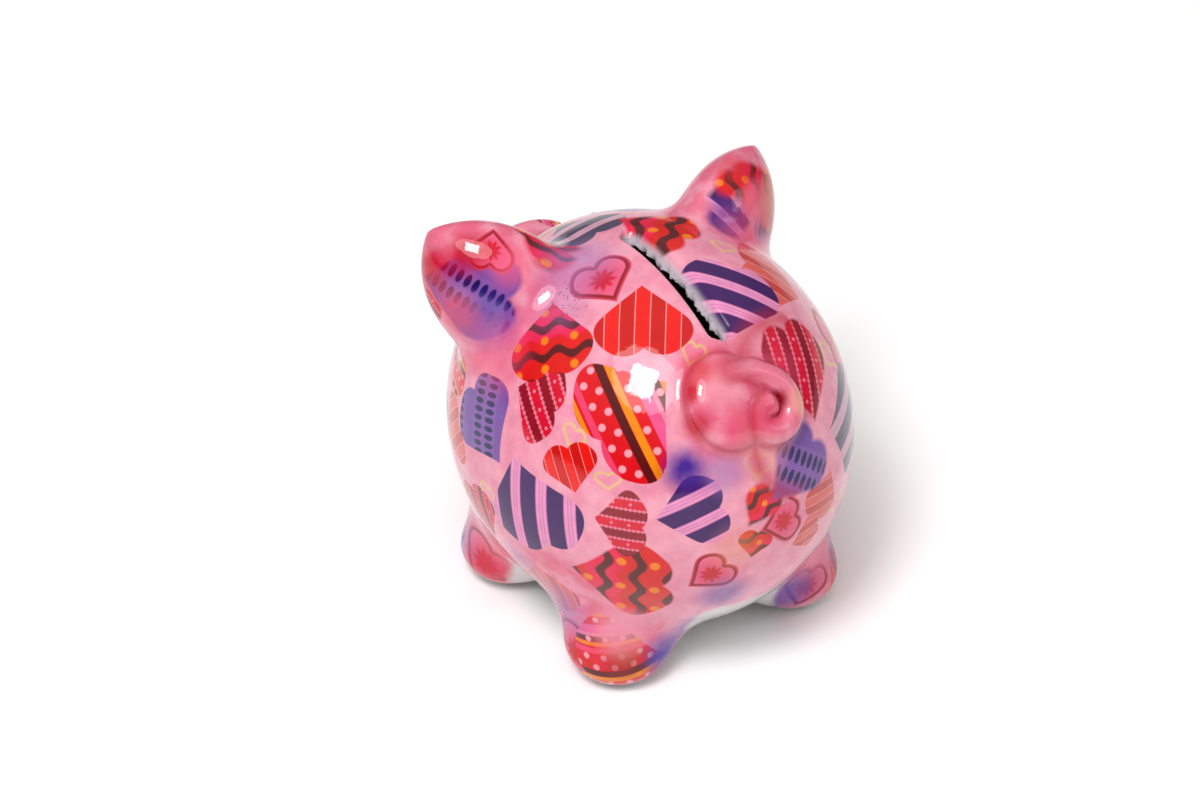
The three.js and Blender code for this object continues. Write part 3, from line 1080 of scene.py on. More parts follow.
@dataclass
class Printing:
    """Lays the hearts, the airbrush and the bare places on the skin as mesh attributes.

    Attributes:
        surface: the skin's distance field.
        margin: how far past a heart's edge its faces are kept for it, in millimetres.
        turned_away: how little the skin may face as the heart does and still take it.
        seat_depth: how deep the plug's seat counts, so that it stays bare clay and does not take the painted
            shade of the ball's inside.
        white_height: how far up the ball's underside is white.
        white_behind: how much farther up it is white between the rear feet.
        white_ahead: how much farther up it is white between the front feet.
        speckled: where the ball is speckled, as an azimuth and an elevation.
    """

    surface: "BankSurface"
    margin: float = 0.7
    turned_away: float = 0.12
    seat_depth: float = 1.8
    white_height: float = 14.0
    white_behind: float = 12.5
    white_ahead: float = 10.0
    speckled: tuple[float, float] = (88, 62)

    def aim(self, limb: str) -> np.ndarray:
        """The place that a heart's direction is taken from.

        Args:
            limb: the limb that it is on, or nothing for the ball.

        Returns:
            A place in the frame, in millimetres.
        """
        centre = self.surface.ball.centre
        if not limb:
            return centre
        shape = self.surface.limb(limb)
        if isinstance(shape, Ear):
            return centre + shape.origin + shape.axes[2] * shape.length * 0.66
        if isinstance(shape, Foot):
            return np.array([*(centre[:2] + shape.stand), shape.waist])
        return centre + np.array([0, -shape.reach + 20, shape.rise])

    def spot(self, tree: BVHTree, azimuth: float, elevation: float, limb: str) -> tuple:
        """Finds the skin in a direction.

        Args:
            tree: the skin's search tree, in millimetres.
            azimuth: the direction's azimuth in degrees, or millimetres to the pig's right on the tail.
            elevation: its elevation, or millimetres up on the tail.
            limb: the limb to look for, or nothing for the ball.

        Returns:
            The place and the outward normal.
        """
        tail = self.surface.tail
        if limb == tail.node:
            aim = np.array([azimuth, elevation, 0]) @ tail.axes + tail.origin + self.surface.ball.centre
            direction = tail.axes[2]
        else:
            aim, direction = self.aim(limb), toward(azimuth, elevation)
        start = aim + direction * (45 if limb else 90)
        place, _, _, _ = tree.ray_cast(Vector(start), Vector(-direction), 200)
        if place is None:
            place, _, _, _ = tree.find_nearest(Vector(aim))
        point = np.array(place)
        if limb:
            normal = self.surface.normals(point[None])[0]
        else:
            normal = (point - self.surface.ball.centre) / np.array(self.surface.ball.half) ** 2
            normal = normal / np.linalg.norm(normal)
        return point, normal

    @staticmethod
    def local(points: np.ndarray, spot: np.ndarray, normal: np.ndarray, turn: float) -> np.ndarray:
        """Unrolls the skin round a spot, as paper laid on it would lie.

        Args:
            points: places on the skin.
            spot: the spot.
            normal: its outward normal.
            turn: how far the paper is turned, in degrees clockwise.

        Returns:
            Places on the paper, across and up, in millimetres.
        """
        up = np.array([0, 0, 1.0]) - normal * normal[2]
        if np.linalg.norm(up) < 0.05:
            up = np.array([0, 1.0, 0]) - normal * normal[1]
        up = up / np.linalg.norm(up)
        right = np.cross(up, normal)
        angle = math.radians(turn)
        lobes = math.cos(angle) * up + math.sin(angle) * right
        across = math.cos(angle) * right - math.sin(angle) * up
        offset = points - spot
        flat = offset - np.outer(offset @ normal, normal)
        reach = np.linalg.norm(offset, axis=1)
        stretch = reach / np.maximum(np.linalg.norm(flat, axis=1), 1e-6)
        return np.column_stack([flat @ across, flat @ lobes]) * np.minimum(stretch, 2.5)[:, None]

    @staticmethod
    def heart_distance(x: np.ndarray, y: np.ndarray) -> np.ndarray:
        """Distances to a heart HEART_WIDTH wide and HEART_HEIGHT high, with its point at the origin.

        Args:
            x: places across it.
            y: places up it.

        Returns:
            Distances, negative inside.
        """
        x = np.abs(x)
        round_part = np.hypot(x - 0.25, y - 0.75) - math.sqrt(2) / 4
        half = 0.5 * np.maximum(x + y, 0)
        near = np.minimum(x**2 + (y - 1) ** 2, (x - half) ** 2 + (y - half) ** 2)
        return np.where(x + y > 1, round_part, np.sqrt(near) * np.sign(x - y))

    def lay(self, obj: bpy.types.Object) -> None:
        """Lays the whole print on the skin.

        Args:
            obj: the skin, before it is parted.
        """
        mesh, points = obj.data, mesh_points(obj)
        normals = self.surface.normals(points)
        corner = read(mesh.loops, "vertex_index", int)
        starts = read(mesh.polygons, "loop_start", int)
        face_of = np.repeat(np.arange(len(starts)), np.diff(np.append(starts, len(corner))))
        tree = BVHTree.FromPolygons([tuple(p) for p in points], [tuple(f.vertices) for f in mesh.polygons])
        sheets = [PaperLayer(layer.value, len(corner), len(starts)) for layer in Layer]
        rng = np.random.default_rng(7)
        for heart in HEARTS:
            spot, normal = self.spot(tree, heart.azimuth, heart.elevation, heart.limb)
            reach = max(heart.length, heart.width) * 0.85 + 2
            close = np.linalg.norm(points - spot, axis=1) < reach
            near = close & (np.minimum(normals @ normal, 1) > self.turned_away)
            paper = self.local(points[near], spot, normal, heart.turn)
            scale = np.array([HEART_WIDTH / heart.width, HEART_HEIGHT / heart.length])
            x, y = (paper * scale + [0, HEART_HEIGHT / 2]).T
            full = heart.full + 0.05 * rng.standard_normal()
            lopsided = 0.07 * rng.standard_normal() * (y - HEART_HEIGHT / 2)
            x = (x + lopsided) / (1 + full * np.clip(4 * y * (1 - y), 0, 1))
            wanted = near.copy()
            wanted[near] = self.heart_distance(x, y) / scale.mean() < self.margin + heart.soft
            face, whole = np.zeros(len(starts), bool), np.ones(len(starts), bool)
            np.logical_or.at(face, face_of, wanted[corner])
            np.logical_and.at(whole, face_of, near[corner])
            face &= whole
            soft = np.full(len(x), heart.soft * scale.mean() * 2)
            place = np.column_stack([x, y, soft])
            angle = math.radians(heart.slant)
            turned = [[math.cos(angle), math.sin(angle)], [-math.sin(angle), math.cos(angle)]]
            kind = np.full(len(x), float(heart.kind))
            weave = np.column_stack([paper @ np.array(turned) / heart.period, kind])
            row = np.cumsum(near) - 1
            for sheet in sheets:
                free = sheet.claim(face)
                mine = free[face_of]
                sheet.place[mine] = place[row[corner[mine]]]
                sheet.weave[mine] = weave[row[corner[mine]]]
                sheet.inks[mine] = np.array(heart.palette.value)
                face &= ~free
        for sheet in sheets:
            sheet.save(mesh)
        self.spray(mesh, points, tree)
        self.bare(mesh, points, tree)
        log.info("print laid: %d hearts over %d faces", len(HEARTS), len(starts))

    def spray(self, mesh: bpy.types.Mesh, points: np.ndarray, tree: BVHTree) -> None:
        """Lays the soft patches of colour.

        Args:
            mesh: the skin's mesh.
            points: its vertices.
            tree: its search tree.
        """
        tint = np.zeros((len(points), 3))
        cover = np.zeros(len(points))
        for patch in AIRBRUSH_AND_PAINTED_SHADE:
            spot, _ = self.spot(tree, patch.azimuth, patch.elevation, patch.limb)
            reach = np.linalg.norm(points - spot, axis=1) / patch.radius
            amount = patch.strength * (1 - smooth_step(0.15, 1.0, reach))
            tint = tint * (1 - amount)[:, None] + np.outer(amount, patch.tint[:3])
            cover = cover * (1 - amount) + amount
        rgba = np.column_stack([tint / np.maximum(cover, 1e-6)[:, None], cover])
        write(mesh, "airbrush", "FLOAT_COLOR", "POINT", rgba)

    def bare(self, mesh: bpy.types.Mesh, points: np.ndarray, tree: BVHTree) -> None:
        """Marks the creases that take painted shade, the flushed limbs, the specks, the depth (which also
        places the painted shade inside the ball) and the white underside.

        Args:
            mesh: the skin's mesh.
            points: its vertices.
            tree: its search tree.
        """
        rel = points - self.surface.ball.centre
        aside, along = np.abs(rel[:, 0]), rel[:, 1]
        seat = np.hypot(aside, along) < self.surface.seat.seat_radius + 2
        low = seat & (points[:, 2] < self.white_height)
        depth = -self.surface.outer(rel)
        depth = np.where(low, np.minimum(depth, self.seat_depth), depth)
        behind = smooth_step(10, 34, along) * (1 - smooth_step(10, 30, aside))
        ahead = smooth_step(14, 40, -along) * (1 - smooth_step(10, 28, aside))
        white = self.white_height + self.white_behind * behind + self.white_ahead * ahead - points[:, 2]
        blush = np.zeros(len(points))
        for limb in self.surface.limbs:
            off = limb.distance(rel)
            flush = 0.35 if isinstance(limb, Snout) else 1.0
            blush = np.maximum(blush, flush * (1 - smooth_step(-1, 7, off)))
            if isinstance(limb, Foot):
                out = (rel[:, :2] - limb.stand) @ np.array([limb.side, limb.end]) / math.sqrt(2)
                near = 1 - smooth_step(-2, 14, off)
                white = white * (1 - near) + near * np.maximum(-out - 4, 2.2 - points[:, 2])
        spot, _ = self.spot(tree, *self.speckled, "")
        speckle = 1 - smooth_step(2, 9, np.linalg.norm(points - spot, axis=1))
        # crease places painted shade in the creases round the tail; depth also places the painted shade
        # inside the ball.
        marks = {"crease": self.surface.crease(rel), "blush": blush, "speckle": speckle, "depth": depth,
                 "underside": white}
        for name, values in marks.items():
            write(mesh, name, "FLOAT", "POINT", values)


# ---- The skin -----------------------------------------------------------------------------------


@dataclass
class BankSurface:
    """The skin's distance field, in millimetres from the ball's middle."""

    ball: Ball = field(default_factory=Ball)

    def __post_init__(self) -> None:
        """Places every shape on the ball."""
        self.ball.locate()
        floor = float(self.ball.centre[2])
        self.slot = CoinSlot()
        self.seat = PlugSeat(floor)
        self.ears = [
            Ear("left_ear", (42.9, -31.8, 54.7), False, 6.5),
            Ear("right_ear", (47.1, -22.4, 49.4), True, 4.5),
        ]
        self.snout = Snout()
        self.tail = Tail(self.ball)
        self.feet = [
            Foot(f"{end_name}_{side_name}_foot", side, end, floor)
            for end_name, end in (("front", -1), ("rear", 1))
            for side_name, side in (("left", 1), ("right", -1))
        ]
        self.limbs = [*self.ears, self.snout, self.tail, *self.feet]
        self.names = ["body_shell", *(limb.node for limb in self.limbs)]
        self.spheres = [self.reach(limb) for limb in self.limbs]

    def reach(self, limb: Ear | Foot | Snout | Tail) -> tuple[np.ndarray, float]:
        """A sphere that holds a limb."""
        low, high = (np.array(corner) / MM - self.ball.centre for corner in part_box(limb.node))
        return (low + high) / 2, float(np.linalg.norm(high - low)) / 2 + 4

    def limb(self, node: str) -> Ear | Foot | Snout | Tail:
        """Finds a limb by its node."""
        return next(limb for limb in self.limbs if limb.node == node)

    def outer(self, rel: np.ndarray) -> np.ndarray:
        """Distances to the outside of the skin, as if it were solid.

        Args:
            rel: places from the ball's middle.

        Returns:
            Distances, negative inside.
        """
        value = self.ball.distance(rel)
        for limb, (middle, reach) in zip(self.limbs, self.spheres):
            near = ((rel - middle) ** 2).sum(1) < (reach + limb.fillet) ** 2
            value[near] = smooth_min(value[near], limb.distance(rel[near]), limb.fillet)
        return value

    def crease(self, rel: np.ndarray) -> np.ndarray:
        """How strongly the creases round the tail take painted shade.

        Args:
            rel: places from the ball's middle.

        Returns:
            From 0 on open skin to about 1 in a deep crease.
        """
        place = self.tail.on_plane(rel)
        near = np.linalg.norm(place, axis=1) < 28
        value = np.zeros(len(rel))
        pad, cord = self.tail.pad_distance(place[near]), self.tail.cord_distance(place[near])
        skin = self.ball.distance(rel[near])
        first = np.clip(1 - np.abs(np.minimum(pad, cord) - skin) / 3.0, 0, 1)
        second = np.clip(1 - np.abs(pad - cord) / 2.2, 0, 1)
        value[near] = np.maximum(first, second)
        return value

    def solid(self, rel: np.ndarray) -> np.ndarray:
        """Distances to the cast skin itself, with its hollow, its slot and its plug hole.

        Args:
            rel: places from the ball's middle.

        Returns:
            Distances, negative inside the clay.
        """
        value = self.outer(rel)
        depth = -value
        hollow = smooth_max(self.ball.distance(rel, self.ball.wall), -self.seat.pad(rel), 2.0)
        value = smooth_max(value, -hollow, 0.8)
        value = smooth_max(value, -self.seat.hole(rel), 0.8)
        value = smooth_max(value, -self.seat.seat(rel), 0.8)
        blunt = (1 - smooth_step(-1.2, 1.2, rel[:, 0])) * (1 - smooth_step(1.4, 3.0, depth))
        rim = self.slot.sharp_rim + (self.slot.rim - self.slot.sharp_rim) * blunt
        return smooth_max(value, -self.slot.distance(rel, depth), rim)

    def slope(self, rel: np.ndarray, step: float = 0.12) -> np.ndarray:
        """The field's gradient.

        Args:
            rel: places from the ball's middle.
            step: how far apart it is sampled.

        Returns:
            Gradients, one row each.
        """
        corners = np.array([[1, 1, 1], [1, -1, -1], [-1, 1, -1], [-1, -1, 1]], float)
        total = np.zeros_like(rel)
        for corner in corners:
            total += corner * self.solid(rel + corner * step)[:, None]
        return total / (4 * step)

    def normals(self, points: np.ndarray) -> np.ndarray:
        """Outward normals of the skin."""
        slope = self.slope(points - self.ball.centre)
        return slope / np.maximum(np.linalg.norm(slope, axis=1, keepdims=True), 1e-9)

    def project(self, points: np.ndarray, rounds: int = 3) -> np.ndarray:
        """Moves points onto the skin.

        Args:
            points: places in the frame, in millimetres.
            rounds: how many steps to take.

        Returns:
            Places on the skin.
        """
        rel = points - self.ball.centre
        for _ in range(rounds):
            slope = self.slope(rel)
            steep = np.maximum((slope**2).sum(1), 0.15)
            move = self.solid(rel) / steep
            rel = rel - np.clip(move, -1.5, 1.5)[:, None] * slope
        return rel + self.ball.centre

    def owner(self, points: np.ndarray) -> np.ndarray:
        """Says which shape each place belongs to: 0 for the ball, then the limbs in order.

        Args:
            points: places in the frame, in millimetres.

        Returns:
            One number for each place.
        """
        rel = points - self.ball.centre
        values = [self.ball.distance(rel)]
        for limb, (middle, reach) in zip(self.limbs, self.spheres):
            near = ((rel - middle) ** 2).sum(1) < (reach + 8) ** 2
            value = np.full(len(rel), 60.0)
            value[near] = limb.distance(rel[near])
            values.append(value)
        nearest = np.argmin(np.array(values), axis=0)
        inside = self.ball.distance(rel) < -1.5
        return np.where(inside, 0, nearest)


@dataclass
class CeramicSkin:
    """Builds the whole skin, lays the print on it and parts it into pieces.

    Attributes:
        surface: the skin's distance field.
        voxel: the size of the skin's first mesh cells, in millimetres.
        lip: how far a parted rim is turned inwards, in millimetres.
        girth: the ball's radius that the lip is taken from.
    """

    surface: BankSurface
    voxel: float = 0.95
    lip: float = 1.8
    girth: float = 50.0

    def rough_form(self) -> bpy.types.Object:
        """Joins the rough forms, cuts the hollows out and remeshes the result evenly.

        Returns:
            The skin's first mesh.
        """
        s, centre = self.surface, self.surface.ball.centre
        skin = s.ball.base()
        for limb in s.limbs:
            combine(skin, limb.base(centre), "UNION")
        inner = np.array(s.ball.half) - s.ball.wall
        hollow = sphere("hollow_form", millimetres(centre, half=tuple(inner)), 64, 32)
        combine(hollow, s.seat.cutter("pad_form", s.seat.pad_radius, s.seat.pad_height, centre), "DIFFERENCE")
        combine(skin, hollow, "DIFFERENCE")
        for name, radius, top in (("hole_form", s.seat.hole_radius, s.seat.pad_height + s.seat.through),
                                  ("seat_form", s.seat.seat_radius, s.seat.seat_height)):
            combine(skin, s.seat.cutter(name, radius, top, centre), "DIFFERENCE")
        combine(skin, s.slot.base(centre), "DIFFERENCE")
        pick(skin, s.tail.cord(centre))
        bpy.ops.object.join()
        remesh = skin.modifiers.new("even_cells", "REMESH")
        remesh.mode = "VOXEL"
        remesh.voxel_size = self.voxel * MM
        apply_all_modifiers(skin)
        return skin

    def relax(self, skin: bpy.types.Object, rounds: int) -> None:
        """Evens out the cells and lays every vertex on the true skin.

        Args:
            skin: the skin's mesh.
            rounds: how many times to even it out.
        """
        start, end = read(skin.data.edges, "vertices", int, 2).reshape(-1, 2).T
        points = self.surface.project(mesh_points(skin))
        links = np.bincount(np.append(start, end), minlength=len(points))[:, None]
        for _ in range(rounds):
            total = np.zeros_like(points)
            np.add.at(total, start, points[end])
            np.add.at(total, end, points[start])
            points = self.surface.project(0.5 * points + 0.5 * total / links, 1)
        set_mesh_points(skin, self.surface.project(points, 2))

    def refine(self, skin: bpy.types.Object) -> None:
        """Halves the cells where the relief is fine: the tail, the slot's rims and the nostrils.

        Args:
            skin: the skin's mesh.
        """
        points = mesh_points(skin)
        rel = points - self.surface.ball.centre
        tail = self.surface.tail.on_plane(rel)
        fine = (np.abs(self.surface.tail.distance(rel)) < 2.5) & (np.linalg.norm(tail, axis=1) < 24)
        slot = self.surface.slot.distance(rel, np.zeros(len(rel)))
        fine |= (np.abs(slot) < 2.6) & (rel[:, 2] > 30) & (self.surface.outer(rel) > -6)
        snout = self.surface.snout
        aside = np.abs(rel[:, 0]) - snout.nostril_spacing / 2
        above = rel[:, 2] - (snout.rise + snout.nostril_rise)
        fine |= (np.hypot(aside, above) < 6.5) & (rel[:, 1] < -50)
        corner = read(skin.data.loops, "vertex_index", int)
        starts = read(skin.data.polygons, "loop_start", int)
        self.choose_faces(skin, np.logical_and.reduceat(fine[corner], starts))
        bpy.ops.object.mode_set(mode="EDIT")
        bpy.ops.mesh.subdivide(number_cuts=1, quadcorner="INNERVERT")
        bpy.ops.object.mode_set(mode="OBJECT")

    @staticmethod
    def choose_faces(obj: bpy.types.Object, chosen: np.ndarray) -> None:
        """Selects faces, and what bounds them, for the next edit.

        Args:
            obj: the mesh object.
            chosen: whether each face is chosen.
        """
        pick(obj)
        bpy.ops.object.mode_set(mode="EDIT")
        bpy.ops.mesh.select_mode(type="FACE")
        bpy.ops.mesh.select_all(action="DESELECT")
        bpy.ops.object.mode_set(mode="OBJECT")
        obj.data.polygons.foreach_set("select", chosen)

    def part(self, skin: bpy.types.Object) -> dict[str, bpy.types.Object]:
        """Parts the skin into one piece for each limb, and the ball.

        Args:
            skin: the finished skin.

        Returns:
            The pieces by their node's name.
        """
        pieces = {}
        for number, node in list(enumerate(self.surface.names))[1:]:
            centres = read(skin.data.polygons, "center", wide=3).reshape(-1, 3)
            owner = self.surface.owner(centres / MM)
            self.choose_faces(skin, owner == number)
            before = set(bpy.data.objects)
            bpy.ops.object.mode_set(mode="EDIT")
            bpy.ops.mesh.separate(type="SELECTED")
            bpy.ops.object.mode_set(mode="OBJECT")
            piece = next(o for o in bpy.data.objects if o not in before)
            piece.name = piece.data.name = "glazed_" + node
            pieces[node] = piece
        skin.name = skin.data.name = "glazed_body_shell"
        pieces["body_shell"] = skin
        for piece in pieces.values():
            self.close(piece)
            self.polish(piece)
        return pieces

    def close(self, piece: bpy.types.Object) -> None:
        """Turns the rims along which a piece was parted inwards, and closes them inside the wall.

        Args:
            piece: the piece.
        """
        pick(piece)
        bpy.ops.object.mode_set(mode="EDIT")
        bpy.ops.mesh.select_mode(type="EDGE")
        bpy.ops.mesh.select_all(action="DESELECT")
        bpy.ops.mesh.select_non_manifold()
        bpy.ops.mesh.extrude_edges_move()
        bpy.ops.object.mode_set(mode="OBJECT")
        turned = read(piece.data.vertices, "select", bool)
        points = mesh_points(piece)
        middle = self.surface.ball.centre
        points[turned] = middle + (points[turned] - middle) * (1 - self.lip / self.girth)
        set_mesh_points(piece, points)
        bpy.ops.object.mode_set(mode="EDIT")
        bpy.ops.mesh.fill_holes(sides=0)
        bpy.ops.object.mode_set(mode="OBJECT")

    def polish(self, piece: bpy.types.Object) -> None:
        """Gives a piece the true skin's normals, so that its gloss runs on over the joints.

        Args:
            piece: the piece.
        """
        piece.data.polygons.foreach_set("use_smooth", np.ones(len(piece.data.polygons), bool))
        normals = self.surface.normals(mesh_points(piece))
        piece.data.normals_split_custom_set_from_vertices([tuple(n) for n in normals])

    def build(self) -> None:
        """Builds the skin, prints it, parts it, and gives each piece its finish and its body and hides its
        CAD node.
        """
        skin = self.rough_form()
        log.info("rough form: %d faces", len(skin.data.polygons))
        self.relax(skin, 4)
        self.refine(skin)
        self.relax(skin, 2)
        skin.data.materials.clear()
        Printing(self.surface).lay(skin)
        pieces = self.part(skin)
        finishes = {"body": "body_glaze", "ear": "ear_glaze", "snout": "snout_glaze",
                    "tail": "tail_glaze", "foot": "foot_glaze"}
        glazes = {slot: PrintedGlaze(slot).material() for slot in finishes.values()}
        for node, piece in pieces.items():
            slot = next(slot for word, slot in finishes.items() if word in node)
            dress(piece, node, glazes[slot])


# ---- Finishes -----------------------------------------------------------------------------------


class Graph:
    """A short way to write a node tree."""

    def __init__(self, tree: bpy.types.NodeTree) -> None:
        """Keeps the tree."""
        self.tree = tree
        self.column = 0

    def node(self, kind: str, inputs: dict | None = None, **settings: object) -> bpy.types.Node:
        """Adds a node.

        Args:
            kind: the node's type.
            inputs: sockets or values by input name or number.
            settings: the node's own properties.

        Returns:
            The new node.
        """
        node = self.tree.nodes.new(kind)
        self.column += 1
        node.location = (self.column % 24 * 180, -(self.column // 24) * 260)
        for name, value in settings.items():
            setattr(node, name, value)
        for key, value in (inputs or {}).items():
            self.feed(node.inputs[key], value)
        return node

    def feed(self, socket: Socket, value: object) -> None:
        """Links a socket to another, or sets its value.

        Args:
            socket: the input.
            value: an output socket, or a value.
        """
        if isinstance(value, Socket):
            self.tree.links.new(value, socket)
        else:
            socket.default_value = value

    def math(self, operation: str, *values: object, clamp: bool = False) -> Socket:
        """Adds a sum."""
        node = self.node("ShaderNodeMath", dict(enumerate(values)), operation=operation, use_clamp=clamp)
        return node.outputs[0]

    def ease(self, value: Socket, low: float, high: float) -> Socket:
        """Eases from 0 to 1 as a value goes from low to high.

        Args:
            value: the value.
            low: where the result leaves 0.
            high: where it reaches 1.

        Returns:
            The eased value.
        """
        inputs = {"Value": value, "From Min": low, "From Max": high}
        node = self.node("ShaderNodeMapRange", inputs, interpolation_type="SMOOTHSTEP")
        return node.outputs["Result"]

    def mix(self, share: Socket, first: Socket | Colour, second: Socket | Colour) -> Socket:
        """Mixes two colours.

        Args:
            share: how much of the second.
            first: a colour.
            second: the other colour.

        Returns:
            The mixed colour.
        """
        node = self.node("ShaderNodeMix", data_type="RGBA")
        self.feed(node.inputs[0], share)
        self.feed(node.inputs[6], first)
        self.feed(node.inputs[7], second)
        return node.outputs[2]

    def scale(self, first: Socket, second: Socket) -> Socket:
        """Multiplies two colours.

        Args:
            first: a colour.
            second: the other colour.

        Returns:
            Their product.
        """
        node = self.node("ShaderNodeMix", data_type="RGBA", blend_type="MULTIPLY")
        self.feed(node.inputs[0], 1.0)
        self.feed(node.inputs[6], first)
        self.feed(node.inputs[7], second)
        return node.outputs[2]

    def noise(self, where: Socket, size: float, detail: float = 2.0) -> Socket:
        """Adds soft noise."""
        inputs = {"Vector": where, "Scale": 1 / (size * MM), "Detail": detail}
        return self.node("ShaderNodeTexNoise", inputs).outputs["Fac"]

    def attribute(self, name: str) -> bpy.types.Node:
        """Reads a mesh attribute."""
        return self.node("ShaderNodeAttribute", attribute_name=name)


class HeartGraph(Graph):
    """The node group that draws one layer of hearts, with one method for each kind's fill."""

    NAME = "printed_heart"

    def __init__(self) -> None:
        """Makes the group, its ports and everything in it."""
        super().__init__(bpy.data.node_groups.new(self.NAME, "ShaderNodeTree"))
        for port, kind in (("Place", "Vector"), ("Weave", "Vector"), ("Ground", "Color"), ("Figure", "Color"),
                           ("Accent", "Color")):
            self.tree.interface.new_socket(port, in_out="INPUT", socket_type=f"NodeSocket{kind}")
        for port, kind in (("Colour", "Color"), ("Cover", "Float")):
            self.tree.interface.new_socket(port, in_out="OUTPUT", socket_type=f"NodeSocket{kind}")
        given = self.node("NodeGroupInput").outputs
        self.place = self.node("ShaderNodeSeparateXYZ", {0: given["Place"]}).outputs
        self.s, self.t, kind = self.node("ShaderNodeSeparateXYZ", {0: given["Weave"]}).outputs
        self.ground, self.figure, self.accent = given["Ground"], given["Figure"], given["Accent"]
        self.edge = self.heart(self.place[0], self.place[1])
        fills = {
            HeartKind.BROAD_STRIPES: self.broad_stripes(),
            HeartKind.WIDE_BANDS: self.wide_bands(),
            HeartKind.WAVES_AND_DOTS: self.waves(),
            HeartKind.RIBBONS: self.ribbons(),
            HeartKind.LACE: self.lace(),
            HeartKind.DASHES: self.dashes(),
            HeartKind.FLOWER: self.flower(),
        }
        shown = self.accent
        for number, fill in fills.items():
            shown = self.mix(self.math("COMPARE", kind, float(number), 0.2), shown, fill)
        soft = self.math("MAXIMUM", self.place[2], 0.01)
        cover = self.math("SUBTRACT", 0.5, self.math("DIVIDE", self.edge, soft), clamp=True)
        off_line = self.math("ABSOLUTE", self.math("ADD", self.edge, 0.09))
        line = self.math("MULTIPLY", self.below(off_line, 0.07, 0.06), 0.7)
        outline = self.math("COMPARE", kind, float(HeartKind.OUTLINE), 0.2)
        cover = self.math("MULTIPLY_ADD", self.math("SUBTRACT", line, cover), outline, cover)
        self.node("NodeGroupOutput", {"Colour": shown, "Cover": cover})

    def heart(self, x: Socket, y: Socket) -> Socket:
        """Distance to the heart's outline, negative inside.

        Args:
            x: the place across it.
            y: the place up it.

        Returns:
            The distance.
        """
        x = self.math("ABSOLUTE", x)
        total = self.math("ADD", x, y)
        dx, dy = self.math("SUBTRACT", x, 0.25), self.math("SUBTRACT", y, 0.75)
        lobe = self.math("SUBTRACT", self.length(dx, dy), math.sqrt(2) / 4)
        half = self.math("MULTIPLY", self.math("MAXIMUM", total, 0.0), 0.5)
        notch = self.length(x, self.math("SUBTRACT", y, 1.0))
        side = self.length(self.math("SUBTRACT", x, half), self.math("SUBTRACT", y, half))
        sign = self.math("SIGN", self.math("SUBTRACT", x, y))
        near = self.math("MULTIPLY", self.math("MINIMUM", notch, side), sign)
        above = self.math("GREATER_THAN", total, 1.0)
        return self.math("MULTIPLY_ADD", self.math("SUBTRACT", lobe, near), above, near)

    def length(self, x: Socket, y: Socket) -> Socket:
        """The length of a flat vector."""
        return self.math("SQRT", self.math("MULTIPLY_ADD", y, y, self.math("MULTIPLY", x, x)))

    def off_middle(self, value: Socket, shift: float = 0.0) -> Socket:
        """How far a repeating value is from the middle of its repeat, 0 to 0.5."""
        return self.math("ABSOLUTE", self.centred(self.math("ADD", value, shift)))

    def centred(self, value: Socket) -> Socket:
        """The place in a repeat, from -0.5 to 0.5."""
        return self.math("SUBTRACT", self.math("FRACT", value), 0.5)

    def below(self, value: Socket, limit: Socket | float, blur: float = 0.02) -> Socket:
        """1 where a value is below a limit and 0 above it, with a narrow blur."""
        part = self.math("DIVIDE", self.math("SUBTRACT", limit, value), blur)
        return self.math("ADD", part, 0.5, clamp=True)

    def ring(self, value: Socket, middle: float, half: float, blur: float) -> Socket:
        """1 where a value is close to a middle one."""
        return self.below(self.math("ABSOLUTE", self.math("SUBTRACT", value, middle)), half, blur)

    def broad_stripes(self) -> Socket:
        """Broad stripes in two near colours, with a thin light line between them.

        Returns:
            The fill.
        """
        band = self.below(self.off_middle(self.s), 0.25)
        line = self.below(self.off_middle(self.math("MULTIPLY", self.s, 2.0)), 0.035, 0.03)
        return self.mix(line, self.mix(band, self.ground, self.figure), self.accent)

    def wide_bands(self) -> Socket:
        """Wide dark bands, and lighter ones with fine lines in them.

        Returns:
            The fill.
        """
        off = self.off_middle(self.s)
        band = self.below(off, 0.19)
        line, rim = self.ring(off, 0.055, 0.02, 0.03), self.ring(off, 0.2, 0.012, 0.02)
        light = self.mix(self.math("MULTIPLY", line, 0.55), self.figure, self.accent)
        return self.mix(rim, self.mix(band, self.ground, light), self.accent)

    def waves(self) -> Socket:
        """Dark waves on a ground that changes from red to pink, with round dots between them.

        Returns:
            The fill.
        """
        along = 0.9
        swing = self.math("SINE", self.math("MULTIPLY", self.t, 2 * math.pi * along))
        row = self.math("MULTIPLY_ADD", swing, 0.13, self.s)
        wave = self.below(self.off_middle(row), 0.15, 0.06)
        pink_row = self.below(self.off_middle(self.math("DIVIDE", row, 3.0), 0.33), 0.17)
        base = self.mix(self.math("MULTIPLY", pink_row, 0.75), self.ground, colour(250, 66, 110))
        x = self.centred(self.math("ADD", self.math("MULTIPLY", self.t, along), 0.3))
        y = self.centred(self.math("ADD", self.s, 0.5))
        dot = self.below(self.length(self.math("DIVIDE", x, along), y), 0.15, 0.06)
        return self.mix(dot, self.mix(wave, base, self.figure), self.accent)

